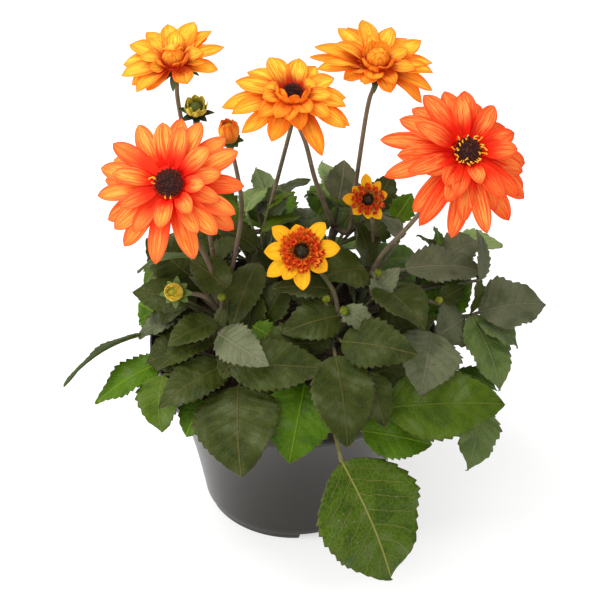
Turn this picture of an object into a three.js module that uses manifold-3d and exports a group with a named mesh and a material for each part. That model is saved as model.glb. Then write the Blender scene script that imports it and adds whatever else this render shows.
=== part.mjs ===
// Potted dahlia: five large blooms, two small blooms and buds on leafy stems that stand in a
// filled nursery pot. Millimetres, +Z up. The origin is the middle of the pot's underside,
// and the viewer stands at -Y.
import * as THREE from 'three';
import Module from 'manifold-3d';
import { mergeVertices } from 'three/addons/utils/BufferGeometryUtils.js';

const wasm = await Module();
wasm.setup();

// Driving dimensions of the pot
const POT_HEIGHT = 126;
const POT_SIDES = 26;
const FOOT_RADIUS = 58.5;
const FOOT_HEIGHT = 5;
const WALL_FOOT_RADIUS = 59.8;
const WALL_SLOPE = 0.165;
const WALL_FLARE = 10.5;
const WALL_TOP = 105;
const WALL_BEND = 68;
const WALL = 1.8;
const FLOOR = 7;
const RIM_RADIUS = 95;
const RIM_BASE = 106.5;
const RIM_STRAIGHT_FROM = 113;
const CHANNEL_COUNT = 4;
const CHANNEL_WIDTH = 22;
const CHANNEL_HEIGHT = 5;
const CHANNEL_START = 30;
const CHANNEL_TURN = 14.5;
const DRAIN_HOLE_RADIUS = 5;
const DRAIN_HOLE_AT = 43;

// Driving dimensions of the soil and of the holes that the stems stand in
const SOIL_TOP = 112;
const SOIL_BUMP = 1.6;
const GAP = 0.3;
const HOLE_DEPTH = 28;

// Driving dimensions of the plant
const STEM_RADIUS = 3.4;
const PEDUNCLE_RADIUS = 1.6;
const PETIOLE_RADIUS = 1.3;
const LEAF_THICKNESS = 1.4;
const PETAL_THICKNESS = 1.1;
const TEETH_SPACING = 13;
const FEWEST_TEETH = 3;
const MOST_TEETH = 5;
const LONG_LEAF = 45;
const HOLE_CLEARANCE = 0.7;
const SMOOTHING = 0.06;

// How the plant is seen in the photograph: places are given as millimetres across and up
// the picture, at the scale of the pot's axis, with how far they lie behind that axis.
const VIEW_TILT = THREE.MathUtils.degToRad(36);
const VIEW_DISTANCE = 1500;
const VIEW_TARGET = new THREE.Vector3(4, 0, 155);

const UP = new THREE.Vector3(0, 0, 1);
const toRadians = THREE.MathUtils.degToRad;
const viewBack = new THREE.Vector3(0, -Math.cos(VIEW_TILT), Math.sin(VIEW_TILT));
const viewUp = new THREE.Vector3(0, Math.sin(VIEW_TILT), Math.cos(VIEW_TILT));
const viewEye = VIEW_TARGET.clone().addScaledVector(viewBack, VIEW_DISTANCE);

function place([across, up, behind]) {
  const ray = new THREE.Vector3(across, 0, 0);
  ray.addScaledVector(viewUp, up);
  ray.addScaledVector(viewBack, -VIEW_DISTANCE);
  const reach = (behind - viewEye.y) / ray.y;
  return viewEye.clone().addScaledVector(ray, reach);
}

// Seeded random numbers, the same on every run
const RANDOM_MODULUS = 2147483647;
const RANDOM_FACTOR = 16807;

function seeded(seed) {
  let state = seed;
  return (low, high) => {
    state = (state * RANDOM_FACTOR) % RANDOM_MODULUS;
    return low + (high - low) * (state / RANDOM_MODULUS);
  };
}

// Solids: a closed geometry becomes a solid that can be joined and cut
function toSolid(geometry) {
  let clean = geometry.clone();
  clean.deleteAttribute('normal');
  clean.deleteAttribute('uv');
  clean = mergeVertices(clean, 1e-4);
  return new wasm.Manifold(new wasm.Mesh({
    numProp: 3,
    vertProperties: new Float32Array(clean.attributes.position.array),
    triVerts: new Uint32Array(clean.index.array),
  }));
}

function fuse(solids) {
  return wasm.Manifold.union(solids);
}

// Keeps the one body that holds together, without loose scraps or sealed hollows
function mainBody(solid) {
  const bodies = solid.simplify(SMOOTHING).decompose();
  bodies.sort((a, b) => b.volume() - a.volume());
  return bodies[0];
}

function toGeometry(solid) {
  const mesh = solid.getMesh();
  const geometry = new THREE.BufferGeometry();
  geometry.setAttribute('position', new THREE.BufferAttribute(new Float32Array(mesh.vertProperties), 3));
  geometry.setIndex(new THREE.BufferAttribute(new Uint32Array(mesh.triVerts), 1));
  geometry.computeVertexNormals();
  return geometry;
}

// A round bar along a smooth curve through the given points
function tube(points, radius, sides = 6, stepsPerSpan = 3) {
  const curve = new THREE.CatmullRomCurve3(points, false, 'centripetal');
  curve.getPointAt = (t, target) => curve.getPoint(t, target);
  curve.getTangentAt = (t, target) => curve.getTangent(t, target);
  const section = new THREE.Shape();
  for (let i = 0; i < sides; i += 1) {
    const turn = (i / sides) * Math.PI * 2;
    const corner = [radius * Math.cos(turn), radius * Math.sin(turn)];
    if (i === 0) section.moveTo(...corner);
    else section.lineTo(...corner);
  }
  const steps = (points.length - 1) * stepsPerSpan;
  return toSolid(new THREE.ExtrudeGeometry(section, { steps, bevelEnabled: false, extrudePath: curve }));
}

// A turned form along an axis: the profile is a list of [radius, height] from the axis back to the axis
function turned(profile, origin, axis, sides = 10) {
  const outline = profile.map(([radius, height]) => new THREE.Vector2(radius, height));
  const geometry = new THREE.LatheGeometry(outline, sides);
  geometry.applyQuaternion(new THREE.Quaternion().setFromUnitVectors(new THREE.Vector3(0, 1, 0), axis));
  geometry.translate(origin.x, origin.y, origin.z);
  return toSolid(geometry);
}

// The curved sheet that a leaf or petal follows: a point by its share of the length, by how far
// out it lies from the midrib and by how far it is raised above the sheet
function sheet({ root, tip, facing, roll = 0, arch = 0, fold = 0, wave = 0 }) {
  const along = tip.clone().sub(root);
  const length = along.length();
  along.normalize();
  const side = new THREE.Vector3().crossVectors(along, facing).normalize();
  side.applyAxisAngle(along, toRadians(roll));
  const normal = new THREE.Vector3().crossVectors(side, along).normalize();
  return (t, out, raise) => {
    const edge = Math.abs(out);
    const lift = arch * length * 4 * t * (1 - t) + fold * edge + raise;
    const ripple = wave * edge * Math.sin(t * 15 + (out > 0 ? 0 : 2));
    return root.clone()
      .addScaledVector(along, length * t)
      .addScaledVector(side, out)
      .addScaledVector(normal, lift + ripple);
  };
}

// A ring of four corners round a leaf stalk, turned from one direction to another
function stalkRing(centre, corners, from, to) {
  const turn = new THREE.Quaternion().setFromUnitVectors(from, to);
  return corners.map((corner) => corner.clone().applyQuaternion(turn).add(centre));
}

// A thin blade, thickest at its midrib and drawn out to its edge. The outline lists [along, out]
// points of one half, as shares of the length and of the half width, and ribs lists the places of
// the midrib's points. Both faces are split into triangles alike. With a stalk, which is a list of
// points that ends at the blade, the blade starts from the stalk's section.
function blade(at, { width, thickness, outline, ribs, stalk = [] }) {
  const points = [];
  const faces = [];
  const add = (point) => points.push(point) - 1;
  const around = [[1, 0], [0, 1], [-1, 0], [0, -1]];
  const neck = around.map(([out, up]) => at(0, out * PETIOLE_RADIUS, up * PETIOLE_RADIUS));
  const stalked = stalk.length > 0;
  const ring = stalked ? neck.map(add) : [];
  const first = stalked ? ring : [add(at(0, 0, 0))];
  const last = add(at(1, 0, 0));
  const places = stalked ? [0, ...ribs] : ribs;
  const over = ribs.map((t) => add(at(t, 0, thickness / 2)));
  const under = ribs.map((t) => add(at(t, 0, -thickness / 2)));
  if (stalked) {
    over.unshift(ring[1]);
    under.unshift(ring[3]);
  }
  for (const hand of [1, -1]) {
    const start = stalked && hand < 0 ? first[2] : first[0];
    const edge = [start, ...outline.map(([t, out]) => add(at(t, (hand * out * width) / 2, 0))), last];
    const along = [0, ...outline.map(([t]) => t), 1];
    const triangle = (overPoints, underPoints) => {
      const [a, b, c] = overPoints;
      const [d, e, f] = underPoints;
      faces.push(...(hand > 0 ? [a, b, c, d, f, e] : [a, c, b, d, e, f]));
    };
    let rib = 0;
    for (let i = 0; i + 1 < edge.length; i += 1) {
      const middle = (along[i] + along[i + 1]) / 2;
      while (rib + 1 < places.length && middle > (places[rib] + places[rib + 1]) / 2) {
        triangle([over[rib], edge[i], over[rib + 1]], [under[rib], edge[i], under[rib + 1]]);
        rib += 1;
      }
      triangle([over[rib], edge[i], edge[i + 1]], [under[rib], edge[i], edge[i + 1]]);
    }
  }
  if (stalked) {
    const root = at(0, 0, 0);
    let corners = neck.map((corner) => corner.clone().sub(root));
    let heading = at(0.05, 0, 0).sub(root).normalize();
    let next = ring;
    for (let k = stalk.length - 2; k >= 0; k -= 1) {
      const direction = stalk[k + 1].clone().sub(stalk[Math.max(0, k - 1)]).normalize();
      const placed = stalkRing(stalk[k], corners, heading, direction);
      corners = placed.map((corner) => corner.clone().sub(stalk[k]));
      heading = direction;
      const behind = placed.map(add);
      for (let c = 0; c < 4; c += 1) {
        const d = (c + 1) % 4;
        faces.push(next[c], next[d], behind[d], next[c], behind[d], behind[c]);
      }
      next = behind;
    }
    faces.push(next[0], next[1], next[2], next[0], next[2], next[3]);
  }
  const geometry = new THREE.BufferGeometry();
  const positions = points.flatMap((point) => point.toArray());
  geometry.setAttribute('position', new THREE.Float32BufferAttribute(positions, 3));
  geometry.setIndex(faces);
  return toSolid(geometry);
}

// The half outline of an egg-shaped leaf with forward-pointing teeth
function serratedOutline(teeth) {
  const outline = [];
  const halfWidth = (t) => Math.sin(Math.PI * t ** 0.74) ** 0.82;
  for (let i = 0; i < teeth; i += 1) {
    const toothAt = (i + 0.8) / teeth;
    const notchAt = (i + 1) / teeth;
    outline.push([toothAt, halfWidth(toothAt)]);
    if (i + 1 < teeth) outline.push([notchAt, halfWidth(notchAt) * 0.86]);
  }
  return outline;
}

// Which way a leaf's upper face looks: up, and leaning out from the pot's axis
const LEAN_AT_RIM = toRadians(48);

function leafFacing(root, tip) {
  const middle = root.clone().add(tip).multiplyScalar(0.5);
  const outward = new THREE.Vector3(middle.x, middle.y, 0);
  const lean = Math.min(1, outward.length() / RIM_RADIUS) * LEAN_AT_RIM;
  outward.normalize();
  return UP.clone().multiplyScalar(Math.cos(lean)).addScaledVector(outward, Math.sin(lean));
}

// The route of a leaf stalk: from its stem, over the pot's rim where the leaf hangs outside
const RIM_CLEARANCE = 8;
const SHORT_STALK = 62;
const BELOW_CROWN = 6;
const STALK_SPACING = 5;
const STALK_RANKS = 4;
const STALK_SLOPE = 0.45;
const LOWEST_STALK = 10;

function leafStalk(stem, root, rank, from) {
  if (from) return [place(from), root];
  const drop = Math.hypot(root.x - stem.crown.x, root.y - stem.crown.y) * STALK_SLOPE;
  const highest = stem.crown.z - BELOW_CROWN - (rank % STALK_RANKS) * STALK_SPACING;
  const height = THREE.MathUtils.clamp(root.z - drop, SOIL_TOP + LOWEST_STALK, highest);
  const share = (height - SOIL_TOP) / (stem.crown.z - SOIL_TOP);
  const start = stem.foot.clone().lerp(stem.crown, share);
  const outside = Math.hypot(root.x, root.y) > RIM_RADIUS - 4 && root.z < POT_HEIGHT + 14;
  if (outside) {
    const overRim = new THREE.Vector3(root.x, root.y, 0).setLength(RIM_RADIUS - 6);
    overRim.z = POT_HEIGHT + RIM_CLEARANCE;
    return [start, overRim, root];
  }
  const span = start.distanceTo(root);
  if (span < SHORT_STALK) return [start, root];
  const bow = start.clone().lerp(root, 0.5);
  bow.z += span * 0.08;
  return [start, bow, root];
}

function leaf(stem, rank, root, tip, width, { roll = 0, arch = 0.09, fold = 0.14, from } = {}) {
  const length = root.distanceTo(tip);
  const teeth = THREE.MathUtils.clamp(Math.round(length / TEETH_SPACING), FEWEST_TEETH, MOST_TEETH);
  const at = sheet({ root, tip, facing: leafFacing(root, tip), roll, arch, fold, wave: 0.05 });
  return blade(at, {
    width,
    thickness: LEAF_THICKNESS,
    outline: serratedOutline(teeth),
    ribs: length > LONG_LEAF ? [0.25, 0.5, 0.76] : [0.33, 0.68],
    stalk: leafStalk(stem, root, rank, from),
  });
}

// Leafy stems: foot in the soil, crown where the flower stalks part, and leaves as
// [root, tip, width, options], each place being [across, up, behind]
const upright = (x, y, z) => new THREE.Vector3(x, y, z);

const STEMS = {
  leafy_stem_left: {
    foot: upright(-22, -14, SOIL_TOP),
    crown: upright(-46, -36, 172),
    leaves: [
      [[-72, 16, -10], [-100, 40, 5], 33],
      [[-72, 29, -20], [-106, 18, -25], 22, { roll: 50 }],
      [[-72, -1, -35], [-109, 5, -27], 26],
      [[-88, -12, -20], [-105, -2, -10], 26],
      [[-81, -12, -30], [-105, -25, -40], 21],
      [[-103, -22, -38], [-154, -57, -60], 26, { roll: 45 }],
      [[-54, -14, -45], [-86, -30, -62], 26],
      [[-57, -25, -48], [-94, -46, -70], 20],
      [[-53, -22, -58], [-20, -43, -92], 28],
      [[-27, 24, -20], [-44, -20, -55], 28],
      [[-46, 7, -35], [-72, 27, -20], 26],
      [[-52, -20, -48], [-47, 0, -42], 12],
      [[-47, 25, 0], [-65, 39, 5], 21],
      [[-28, 33, 5], [-57, 47, 12], 28],
      [[-68, 5, -16], [-90, -17, -37], 29],
      [[-60, 4, -4], [-78, 29, 1], 29],
      [[-69, -17, -30], [-101, -14, -25], 31],
      [[-29, 6, -37], [-33, -23, -42], 29],
      [[-83, 3, 0], [-105, -16, 0], 31],
      [[-80, 28, 5], [-102, 8, 0], 31, { from: [-83, 3, 0] }],
      [[-57, 25, -10], [-39, 40, -3], 24, { from: [-72, 16, -10] }],
    ],
  },
  leafy_stem_front: {
    foot: upright(6, -28, SOIL_TOP),
    crown: upright(29, -50, 172),
    leaves: [
      [[23, -36, -80], [31, -96, -118], 42],
      [[27, -27, -68], [77, -36, -84], 35],
      [[27, -10, -48], [-12, -22, -62], 31],
      [[28, -5, -52], [48, -22, -66], 20],
      [[-23, -14, -45], [-7, 13, -30], 26],
      [[20, 7, -38], [-18, 7, -42], 21],
      [[-31, -17, -55], [-12, -29, -62], 18],
      [[42, -47, -86], [55, -83, -103], 26],
      [[16, -5, -22], [-11, 10, -14], 29],
      [[5, -28, -59], [-27, -34, -72], 31],
      [[14, -14, -45], [-1, -37, -59], 30],
      [[-25, -29, -56], [-1, -47, -70], 26],
    ],
  },
  leafy_stem_right: {
    foot: upright(26, -4, SOIL_TOP),
    crown: upright(50, -12, 186),
    leaves: [
      [[68, 20, -10], [120, 18, 5], 33],
      [[51, 9, -30], [81, -19, -62], 42],
      [[43, 20, -12], [16, 15, -25], 37],
      [[45, 21, -5], [36, 51, 10], 26],
      [[47, 3, -35], [65, 21, -28], 17],
      [[89, 31, 8], [76, 42, 20], 17],
      [[90, 36, 11], [87, 48, 25], 12, { from: [89, 31, 8] }],
      [[65, 39, 5], [51, 56, 22], 24],
      [[91, 0, -15], [107, 9, -5], 17],
      [[111, -10, -12], [130, -59, -45], 38, { roll: 22 }],
      [[115, -13, -13], [142, -31, -22], 34, { from: [111, -10, -12] }],
      [[116, -8, -10], [160, -3, 0], 44, { from: [111, -10, -12] }],
      [[107, -12, -15], [88, -24, -35], 36, { from: [111, -10, -12] }],
      [[117, 13, -5], [115, 46, 25], 18],
      [[96, 35, 35], [132, 35, 30], 24, { roll: 35 }],
      [[116, 16, -2], [110, -10, -14], 15],
      [[35, -5, -11], [30, 26, -9], 34],
      [[78, -8, -11], [112, 12, 11], 36],
      [[78, 4, 3], [98, 26, 16], 29],
      [[91, 27, 9], [116, 38, 29], 26],
      [[81, 29, 22], [89, 47, 26], 15],
      [[44, 39, 13], [64, 53, 25], 24],
    ],
  },
  basal_shoot_left: {
    foot: upright(-12, -36, SOIL_TOP),
    crown: upright(-20, -48, 142),
    leaves: [
      [[-40, -56, -78], [-38, -115, -125], 58],
      [[3, -55, -82], [-7, -106, -114], 48],
      [[-46, -43, -75], [19, -45, -83], 36, { from: [-48, -48, -62] }],
      [[-48, -42, -62], [-92, -71, -92], 33],
      [[-88, -40, -50], [-133, -68, -62], 28],
      [[-89, -49, -68], [-90, -86, -85], 37],
      [[-62, -66, -80], [-74, -89, -92], 26],
      [[-70, -33, -49], [-100, -41, -56], 34],
      [[-37, -32, -56], [-51, -52, -76], 24],
      [[-34, -55, -77], [-22, -78, -98], 28],
    ],
  },
  basal_shoot_right: {
    foot: upright(26, -34, SOIL_TOP),
    crown: upright(40, -52, 140),
    leaves: [
      [[27, -105, -112], [59, -181, -128], 73],
      [[85, -21, -45], [78, -62, -88], 44, { roll: 20 }],
      [[55, -70, -88], [133, -68, -72], 50],
      [[40, -85, -96], [86, -94, -92], 33],
      [[114, -65, -45], [109, -111, -78], 40],
      [[102, -47, -30], [128, -59, -35], 19],
      [[47, -27, -36], [88, -13, -38], 40],
      [[47, -48, -63], [79, -40, -63], 36, { from: [47, -27, -36] }],
    ],
  },
  leafy_stem_back_left: {
    foot: upright(-16, 18, SOIL_TOP),
    crown: upright(-20, 28, 190),
    leaves: [
      [[-27, 56, 35], [7, 78, 60], 33],
      [[-21, 59, 25], [-3, 70, 35], 14],
      [[-25, 44, 15], [2, 54, 28], 19],
      [[-35, 57, 30], [-21, 76, 55], 24],
      [[-40, 44, 26], [-47, 68, 48], 15],
      [[-21, 5, 7], [-36, 35, 16], 34],
      [[-19, 52, 37], [-29, 86, 46], 31],
      [[-48, 27, 13], [-76, 43, 29], 31],
    ],
  },
  leafy_stem_back_right: {
    foot: upright(16, 20, SOIL_TOP),
    crown: upright(26, 34, 190),
    leaves: [
      [[29, 57, 40], [14, 90, 75], 40],
      [[34, 60, 35], [3, 68, 50], 31],
      [[61, 51, 28], [73, 69, 46], 19],
      [[47, 57, 35], [60, 82, 60], 21],
      [[25, 61, 45], [37, 74, 62], 19],
      [[24, 60, 38], [29, 91, 63], 27],
    ],
  },
};

// Leaves behind the pot's axis, which the photograph doesn't show, follow a rule: tiers of
// leaves round the back, each leaning out from the stem on its side
const BACK_TIERS = [
  { count: 6, rootRadius: 84, rootHeight: 139, tipRadius: 134, tipHeight: 112, width: 44 },
  { count: 6, rootRadius: 62, rootHeight: 166, tipRadius: 112, tipHeight: 158, width: 40 },
  { count: 4, rootRadius: 50, rootHeight: 188, tipRadius: 88, tipHeight: 196, width: 34 },
];
const BACK_FROM = 24;
const BACK_TO = 156;
const TIER_STEP = 5;

function polar(turn, radius, height) {
  return upright(radius * Math.cos(toRadians(turn)), radius * Math.sin(toRadians(turn)), height);
}

function backLeaves() {
  const random = seeded(43);
  const rows = { leafy_stem_back_left: [], leafy_stem_back_right: [] };
  BACK_TIERS.forEach((tier, level) => {
    for (let i = 0; i < tier.count; i += 1) {
      const share = (i + 0.5 + random(-0.18, 0.18)) / tier.count;
      const turn = BACK_FROM + (BACK_TO - BACK_FROM) * share;
      const sway = random(-9, 9);
      const stretch = random(0.92, 1.08);
      const raised = (i % 2 ? TIER_STEP : -TIER_STEP) + random(-2, 2);
      const root = polar(turn, tier.rootRadius * stretch, tier.rootHeight + raised);
      const tip = polar(turn + sway, tier.tipRadius * stretch, tier.tipHeight + raised + random(-5, 5));
      const width = tier.width * random(0.88, 1.12);
      const side = turn > 90 ? 'leafy_stem_back_left' : 'leafy_stem_back_right';
      rows[side].push([root, tip, width, { roll: random(-12, 12), arch: 0.1 + 0.02 * level }]);
    }
  });
  return rows;
}

// Blooms: where the disc's middle is, how far the face is tilted from level towards the viewer
// and leans to the right, and petals as [turn, reach] or [turn, reach, lift] in degrees and mm
const BLOOMS = {
  bloom_left: {
    at: [-85, 76, -35],
    tilt: 50,
    lean: -8,
    discRadius: 8.5,
    outerLift: -4,
    innerLift: 16,
    stem: 'leafy_stem_left',
    stalk: [[-58, 20, -28], [-72, 48, -20]],
    color: 0xf7793a,
    outer: [
      [83, 41, -10], [62, 42], [41, 44], [24, 46], [-2, 45], [-27, 45], [-36, 47, -10], [-47, 43],
      [-73, 48],
      [-101, 50], [-127, 47, -12], [-142, 44, -8], [-152, 44], [-170, 45], [176, 41, -10], [166, 44],
      [155, 40, -10],
      [144, 43], [120, 42], [96, 38],
    ],
    inner: [
      [75, 35], [39, 33], [10, 33], [-5, 24, 34], [-20, 33], [-51, 24, 34], [-59, 37], [-96, 30, 30],
      [-125, 37],
      [-153, 33], [171, 35],
    ],
    florets: [160, 172, 187, 255, 280],
  },
  bloom_right: {
    at: [109, 97, -10],
    tilt: 46,
    lean: 12,
    discRadius: 8,
    outerLift: -8,
    innerLift: 18,
    stem: 'leafy_stem_right',
    stalk: [[53, 29, -8], [75, 53, -5]],
    color: 0xf8703a,
    outer: [
      [106, 41], [91, 39], [76, 33, -12], [60, 35], [36, 31], [22, 32, 4], [-7, 39], [-18, 38, -12],
      [-29, 43],
      [-37, 46, -12], [-57, 49], [-76, 52], [-97, 53], [-122, 55], [-132, 48, -12], [-161, 54], [172, 53],
      [153, 46], [137, 43, -12], [127, 44],
    ],
    inner: [
      [99, 35, 8], [0, 30], [-41, 42, 4], [-57, 37], [-64, 40, 0], [-75, 23, 38], [-92, 44, -2],
      [-105, 31], [-125, 28, 30],
      [-114, 37, 8], [-151, 32], [-157, 42, 4], [184, 44, 2], [158, 37],
    ],
    florets: [8, 48, 100, 138, 172, 205, 238, 272, 305, 340],
  },
  bloom_centre: {
    at: [-5, 134, 10],
    tilt: 20,
    lean: 2,
    discRadius: 6,
    outerLift: 0,
    innerLift: 24,
    stem: 'leafy_stem_back_right',
    stalk: [[20, 52, 24], [10, 78, 18], [3, 104, 14]],
    color: 0xfb8a22,
    outer: [
      [142, 35, 4], [117, 31, 6], [93, 28, 4], [81, 27, 6], [59, 28, 4], [27, 29, 4], [-1, 33, 4],
      [-12, 34, 0],
      [-28, 40, -4], [-35, 40, -8], [-65, 42, -12], [-109, 37, -10], [-141, 39, -8], [-158, 40, -2],
      [-169, 44, 2],
      [172, 36, 6], [162, 36, 4],
    ],
    inner: [
      [173, 18], [-153, 21], [-137, 26, 20], [-110, 30, 22], [-94, 28, 30], [-65, 25, 26], [-23, 17, 22],
      [-11, 25, 12], [-41, 30, 12], [-131, 32, 8], [-81, 29, 10], [24, 16, 20], [-135, 11, 72],
      [-80, 9, 68],
      [-30, 9, 72],
    ],
    florets: [],
  },
  bloom_top_left: {
    at: [-82, 155, 45],
    tilt: 10,
    lean: -5,
    discRadius: 5,
    outerLift: 0,
    innerLift: 24,
    stem: 'leafy_stem_back_left',
    stalk: [[-62, 44, 34], [-72, 92, 40], [-80, 134, 44]],
    color: 0xfca626,
    outer: [
      [169, 34, 2], [149, 34, 5], [137, 33, 8], [124, 32, 10], [109, 30, 10], [98, 31, 12], [83, 32, 12],
      [68, 33, 14], [52, 33, 10], [47, 34, 5], [25, 30, 6], [17, 33, 2], [-6, 27, -8], [-62, 18, -18],
      [-135, 24, -12], [-144, 30, -16], [-163, 29, -10], [-169, 34, -6],
    ],
    inner: [
      [130, 24], [86, 20, 30], [55, 20], [177, 21, 14], [-161, 16, 10], [11, 19, 14], [-5, 20, 4],
      [108, 20, 126],
      [80, 19, 130],
    ],
    florets: [],
  },
  bloom_top_right: {
    at: [50, 153, 50],
    tilt: 6,
    lean: 4,
    discRadius: 5,
    outerLift: 0,
    innerLift: 24,
    stem: 'leafy_stem_back_right',
    stalk: [[31, 44, 24], [36, 74, 32], [45, 130, 46]],
    color: 0xfd9427,
    outer: [
      [174, 43, 4], [169, 41, 8], [150, 38, 10], [133, 37, 12], [119, 37, 14], [106, 37, 14], [91, 33, 12],
      [75, 35, 12], [54, 35, 10], [35, 35, 8], [15, 37, 4], [-1, 36, -4], [-15, 37, -10], [-25, 33, -32],
      [-61, 19, -16], [-116, 17, -14], [-159, 22, -10], [-174, 38, -4],
    ],
    inner: [
      [-169, 34, 14], [170, 28], [134, 23, 28], [103, 20, 30], [63, 21, 26], [27, 22, 18], [4, 22, 14],
      [-13, 25, 4], [-160, 18, 10], [-101, 17, 0], [-54, 19, 0], [155, 27, 18], [120, 15, 84], [72, 15, 80],
      [-120, 9, 66],
    ],
    florets: [],
  },
};

const PETAL_OUTLINE = [[0.48, 0.94], [0.84, 0.8]];
const PETAL_RIBS = [0.55];
const OUTER_PETAL_WIDTH = 13;
const INNER_PETAL_WIDTH = 11.5;
const LAYER_STEP = 4;
const ROOT_STEP = 0.5;
const CORE_HEIGHT = 4;
const CORE_BEYOND_DISC = 2.6;
const CALYX_HEIGHT = 7;
const DISC_SIDES = 10;

// A bloom's own directions: along its axis, and two across its face
function faceFrame({ at, tilt, lean }) {
  const origin = place(at);
  const down = toRadians(tilt);
  const across = toRadians(lean);
  const level = Math.cos(down);
  const axis = upright(Math.sin(across) * level, -Math.sin(down), Math.cos(across) * level);
  axis.normalize();
  const right = upright(1, 0, 0).addScaledVector(axis, -axis.x).normalize();
  const up = new THREE.Vector3().crossVectors(axis, right);
  const point = (turn, radius, height) => origin.clone()
    .addScaledVector(right, radius * Math.cos(toRadians(turn)))
    .addScaledVector(up, radius * Math.sin(toRadians(turn)))
    .addScaledVector(axis, height);
  return { origin, axis, point };
}

// A petal lies out from the disc, or stands beside it where its lift is steep: its reach is then
// its own length. Past upright it bows over the disc.
const STEEP = 60;
const UPRIGHT = 90;
const STEEP_ARCH = 0.14;
const BOW_PER_DEGREE = 0.004;

function petal(frame, rootRadius, rootHeight, [turn, reach, lift], width) {
  const slope = toRadians(lift);
  const steep = lift >= STEEP;
  const out = steep ? rootRadius + reach * Math.cos(slope) : reach;
  const rise = steep ? reach * Math.sin(slope) : (reach - rootRadius) * Math.tan(slope);
  const root = frame.point(turn, rootRadius, rootHeight);
  const inward = frame.point(turn, 0, rootHeight).sub(root).normalize();
  const at = sheet({
    root,
    tip: frame.point(turn, out, rootHeight + rise),
    facing: steep ? inward : frame.axis,
    arch: steep ? -STEEP_ARCH - BOW_PER_DEGREE * Math.max(0, lift - UPRIGHT) : 0.08,
    fold: 0.16,
  });
  return blade(at, { width, thickness: PETAL_THICKNESS, outline: PETAL_OUTLINE, ribs: PETAL_RIBS });
}

// The domed disc of florets: a relief of alternating bumps over a turned form
const DISC_BUMP = 0.45;

function disc(frame, radius, height) {
  const profile = [
    [0, GAP],
    [radius, GAP],
    [radius, height * 0.45],
    [radius * 0.8, height * 0.8],
    [radius * 0.45, height],
    [0, height],
  ];
  const outline = profile.map(([r, h]) => new THREE.Vector2(r, h));
  const geometry = new THREE.LatheGeometry(outline, DISC_SIDES);
  const positions = geometry.attributes.position;
  for (let i = 0; i < positions.count; i += 1) {
    const ring = i % profile.length;
    const spoke = Math.floor(i / profile.length);
    if (ring > 1 && ring < profile.length - 1) {
      const sign = (ring + spoke) % 2 ? 1 : -1;
      positions.setY(i, positions.getY(i) + sign * DISC_BUMP);
    }
  }
  geometry.applyQuaternion(new THREE.Quaternion().setFromUnitVectors(upright(0, 1, 0), frame.axis));
  geometry.translate(frame.origin.x, frame.origin.y, frame.origin.z);
  return toSolid(geometry);
}

// The green cup under a bloom or bud: its bracts are the points of a star, drawn out from the rim
const BRACT_COUNT = 5;

function calyx(frame, radius, top, bractLength = 9, bractRise = -5) {
  const profile = [[0, top - CALYX_HEIGHT], [radius, top - 2], [radius * 0.9, top], [0, top]];
  const outline = profile.map(([r, h]) => new THREE.Vector2(r, h));
  const geometry = new THREE.LatheGeometry(outline, BRACT_COUNT * 2);
  const positions = geometry.attributes.position;
  for (let i = 0; i < positions.count; i += 1) {
    const onRim = i % profile.length === 1;
    const onBract = Math.floor(i / profile.length) % 2 === 0;
    if (onRim && onBract) {
      const stretch = (radius + bractLength) / radius;
      positions.setX(i, positions.getX(i) * stretch);
      positions.setZ(i, positions.getZ(i) * stretch);
      positions.setY(i, positions.getY(i) + bractRise);
    }
  }
  geometry.applyQuaternion(new THREE.Quaternion().setFromUnitVectors(upright(0, 1, 0), frame.axis));
  geometry.translate(frame.origin.x, frame.origin.y, frame.origin.z);
  return toSolid(geometry);
}

function stalk(stem, route, frame, end) {
  const straight = [frame.point(0, 0, end - 9), frame.point(0, 0, end)];
  return tube([stem.crown.clone(), ...route.map(place), ...straight], PEDUNCLE_RADIUS, 4, 1);
}

// Two sorts of smaller bloom: short rays round a ring of open tube florets
const SMALL_BLOOMS = {
  small_bloom_front: {
    at: [1, 32, -35],
    tilt: 52,
    lean: 0,
    discRadius: 4.6,
    ringRadius: 10.5,
    floretCount: 11,
    rayWidth: 13,
    rayLift: 6,
    stem: 'leafy_stem_front',
    stalk: [[21, 7, -40]],
    rayColor: 0xfbb02a,
    floretColor: 0xe8622a,
    rays: [
      [141, 22], [103, 17], [77, 14], [50, 22], [3, 24], [-39, 20], [-89, 23], [-122, 21], [-145, 26],
      [182, 22],
    ],
  },
  small_bloom_back: {
    at: [44, 65, 8],
    tilt: 46,
    lean: 6,
    discRadius: 3.6,
    ringRadius: 7.6,
    floretCount: 8,
    rayWidth: 10,
    rayLift: 20,
    stem: 'leafy_stem_right',
    stalk: [[46, 24, 5], [47, 52, 7]],
    rayColor: 0xe9a83c,
    floretColor: 0xa85a2c,
    rays: [[96, 17], [56, 14], [180, 16], [140, 12], [-56, 15], [-90, 12], [20, 13], [225, 13]],
  },
};

// Buds: petals stand round a core, held by a green cup
const BUDS = {
  bud_half_open: {
    at: [-68, 122, 20],
    tilt: 20,
    lean: 4,
    radius: 5.2,
    height: 10,
    open: 1.3,
    petals: 7,
    bractLength: 8,
    bractRise: 4,
    stem: 'leafy_stem_left',
    stalk: [[-57, 32, -10], [-66, 86, 14]],
    color: 0xb9a83e,
  },
  bud_orange: {
    at: [-45.5, 105, 10],
    tilt: 10,
    lean: -6,
    radius: 6,
    height: 14,
    open: 0.75,
    petals: 7,
    bractLength: 4,
    bractRise: 0.5,
    stem: 'leafy_stem_left',
    stalk: [[-41, 36, -12], [-38, 62, -2], [-43, 92, 8]],
    color: 0xe0602e,
  },
  bud_yellow: {
    at: [-81, 5, -48],
    tilt: 50,
    lean: -20,
    radius: 6.4,
    height: 10,
    open: 0.6,
    petals: 6,
    bractLength: 6,
    bractRise: 1,
    stem: 'leafy_stem_left',
    stalk: [[-64, 3, -42]],
    color: 0xd6b33a,
  },
};

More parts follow.
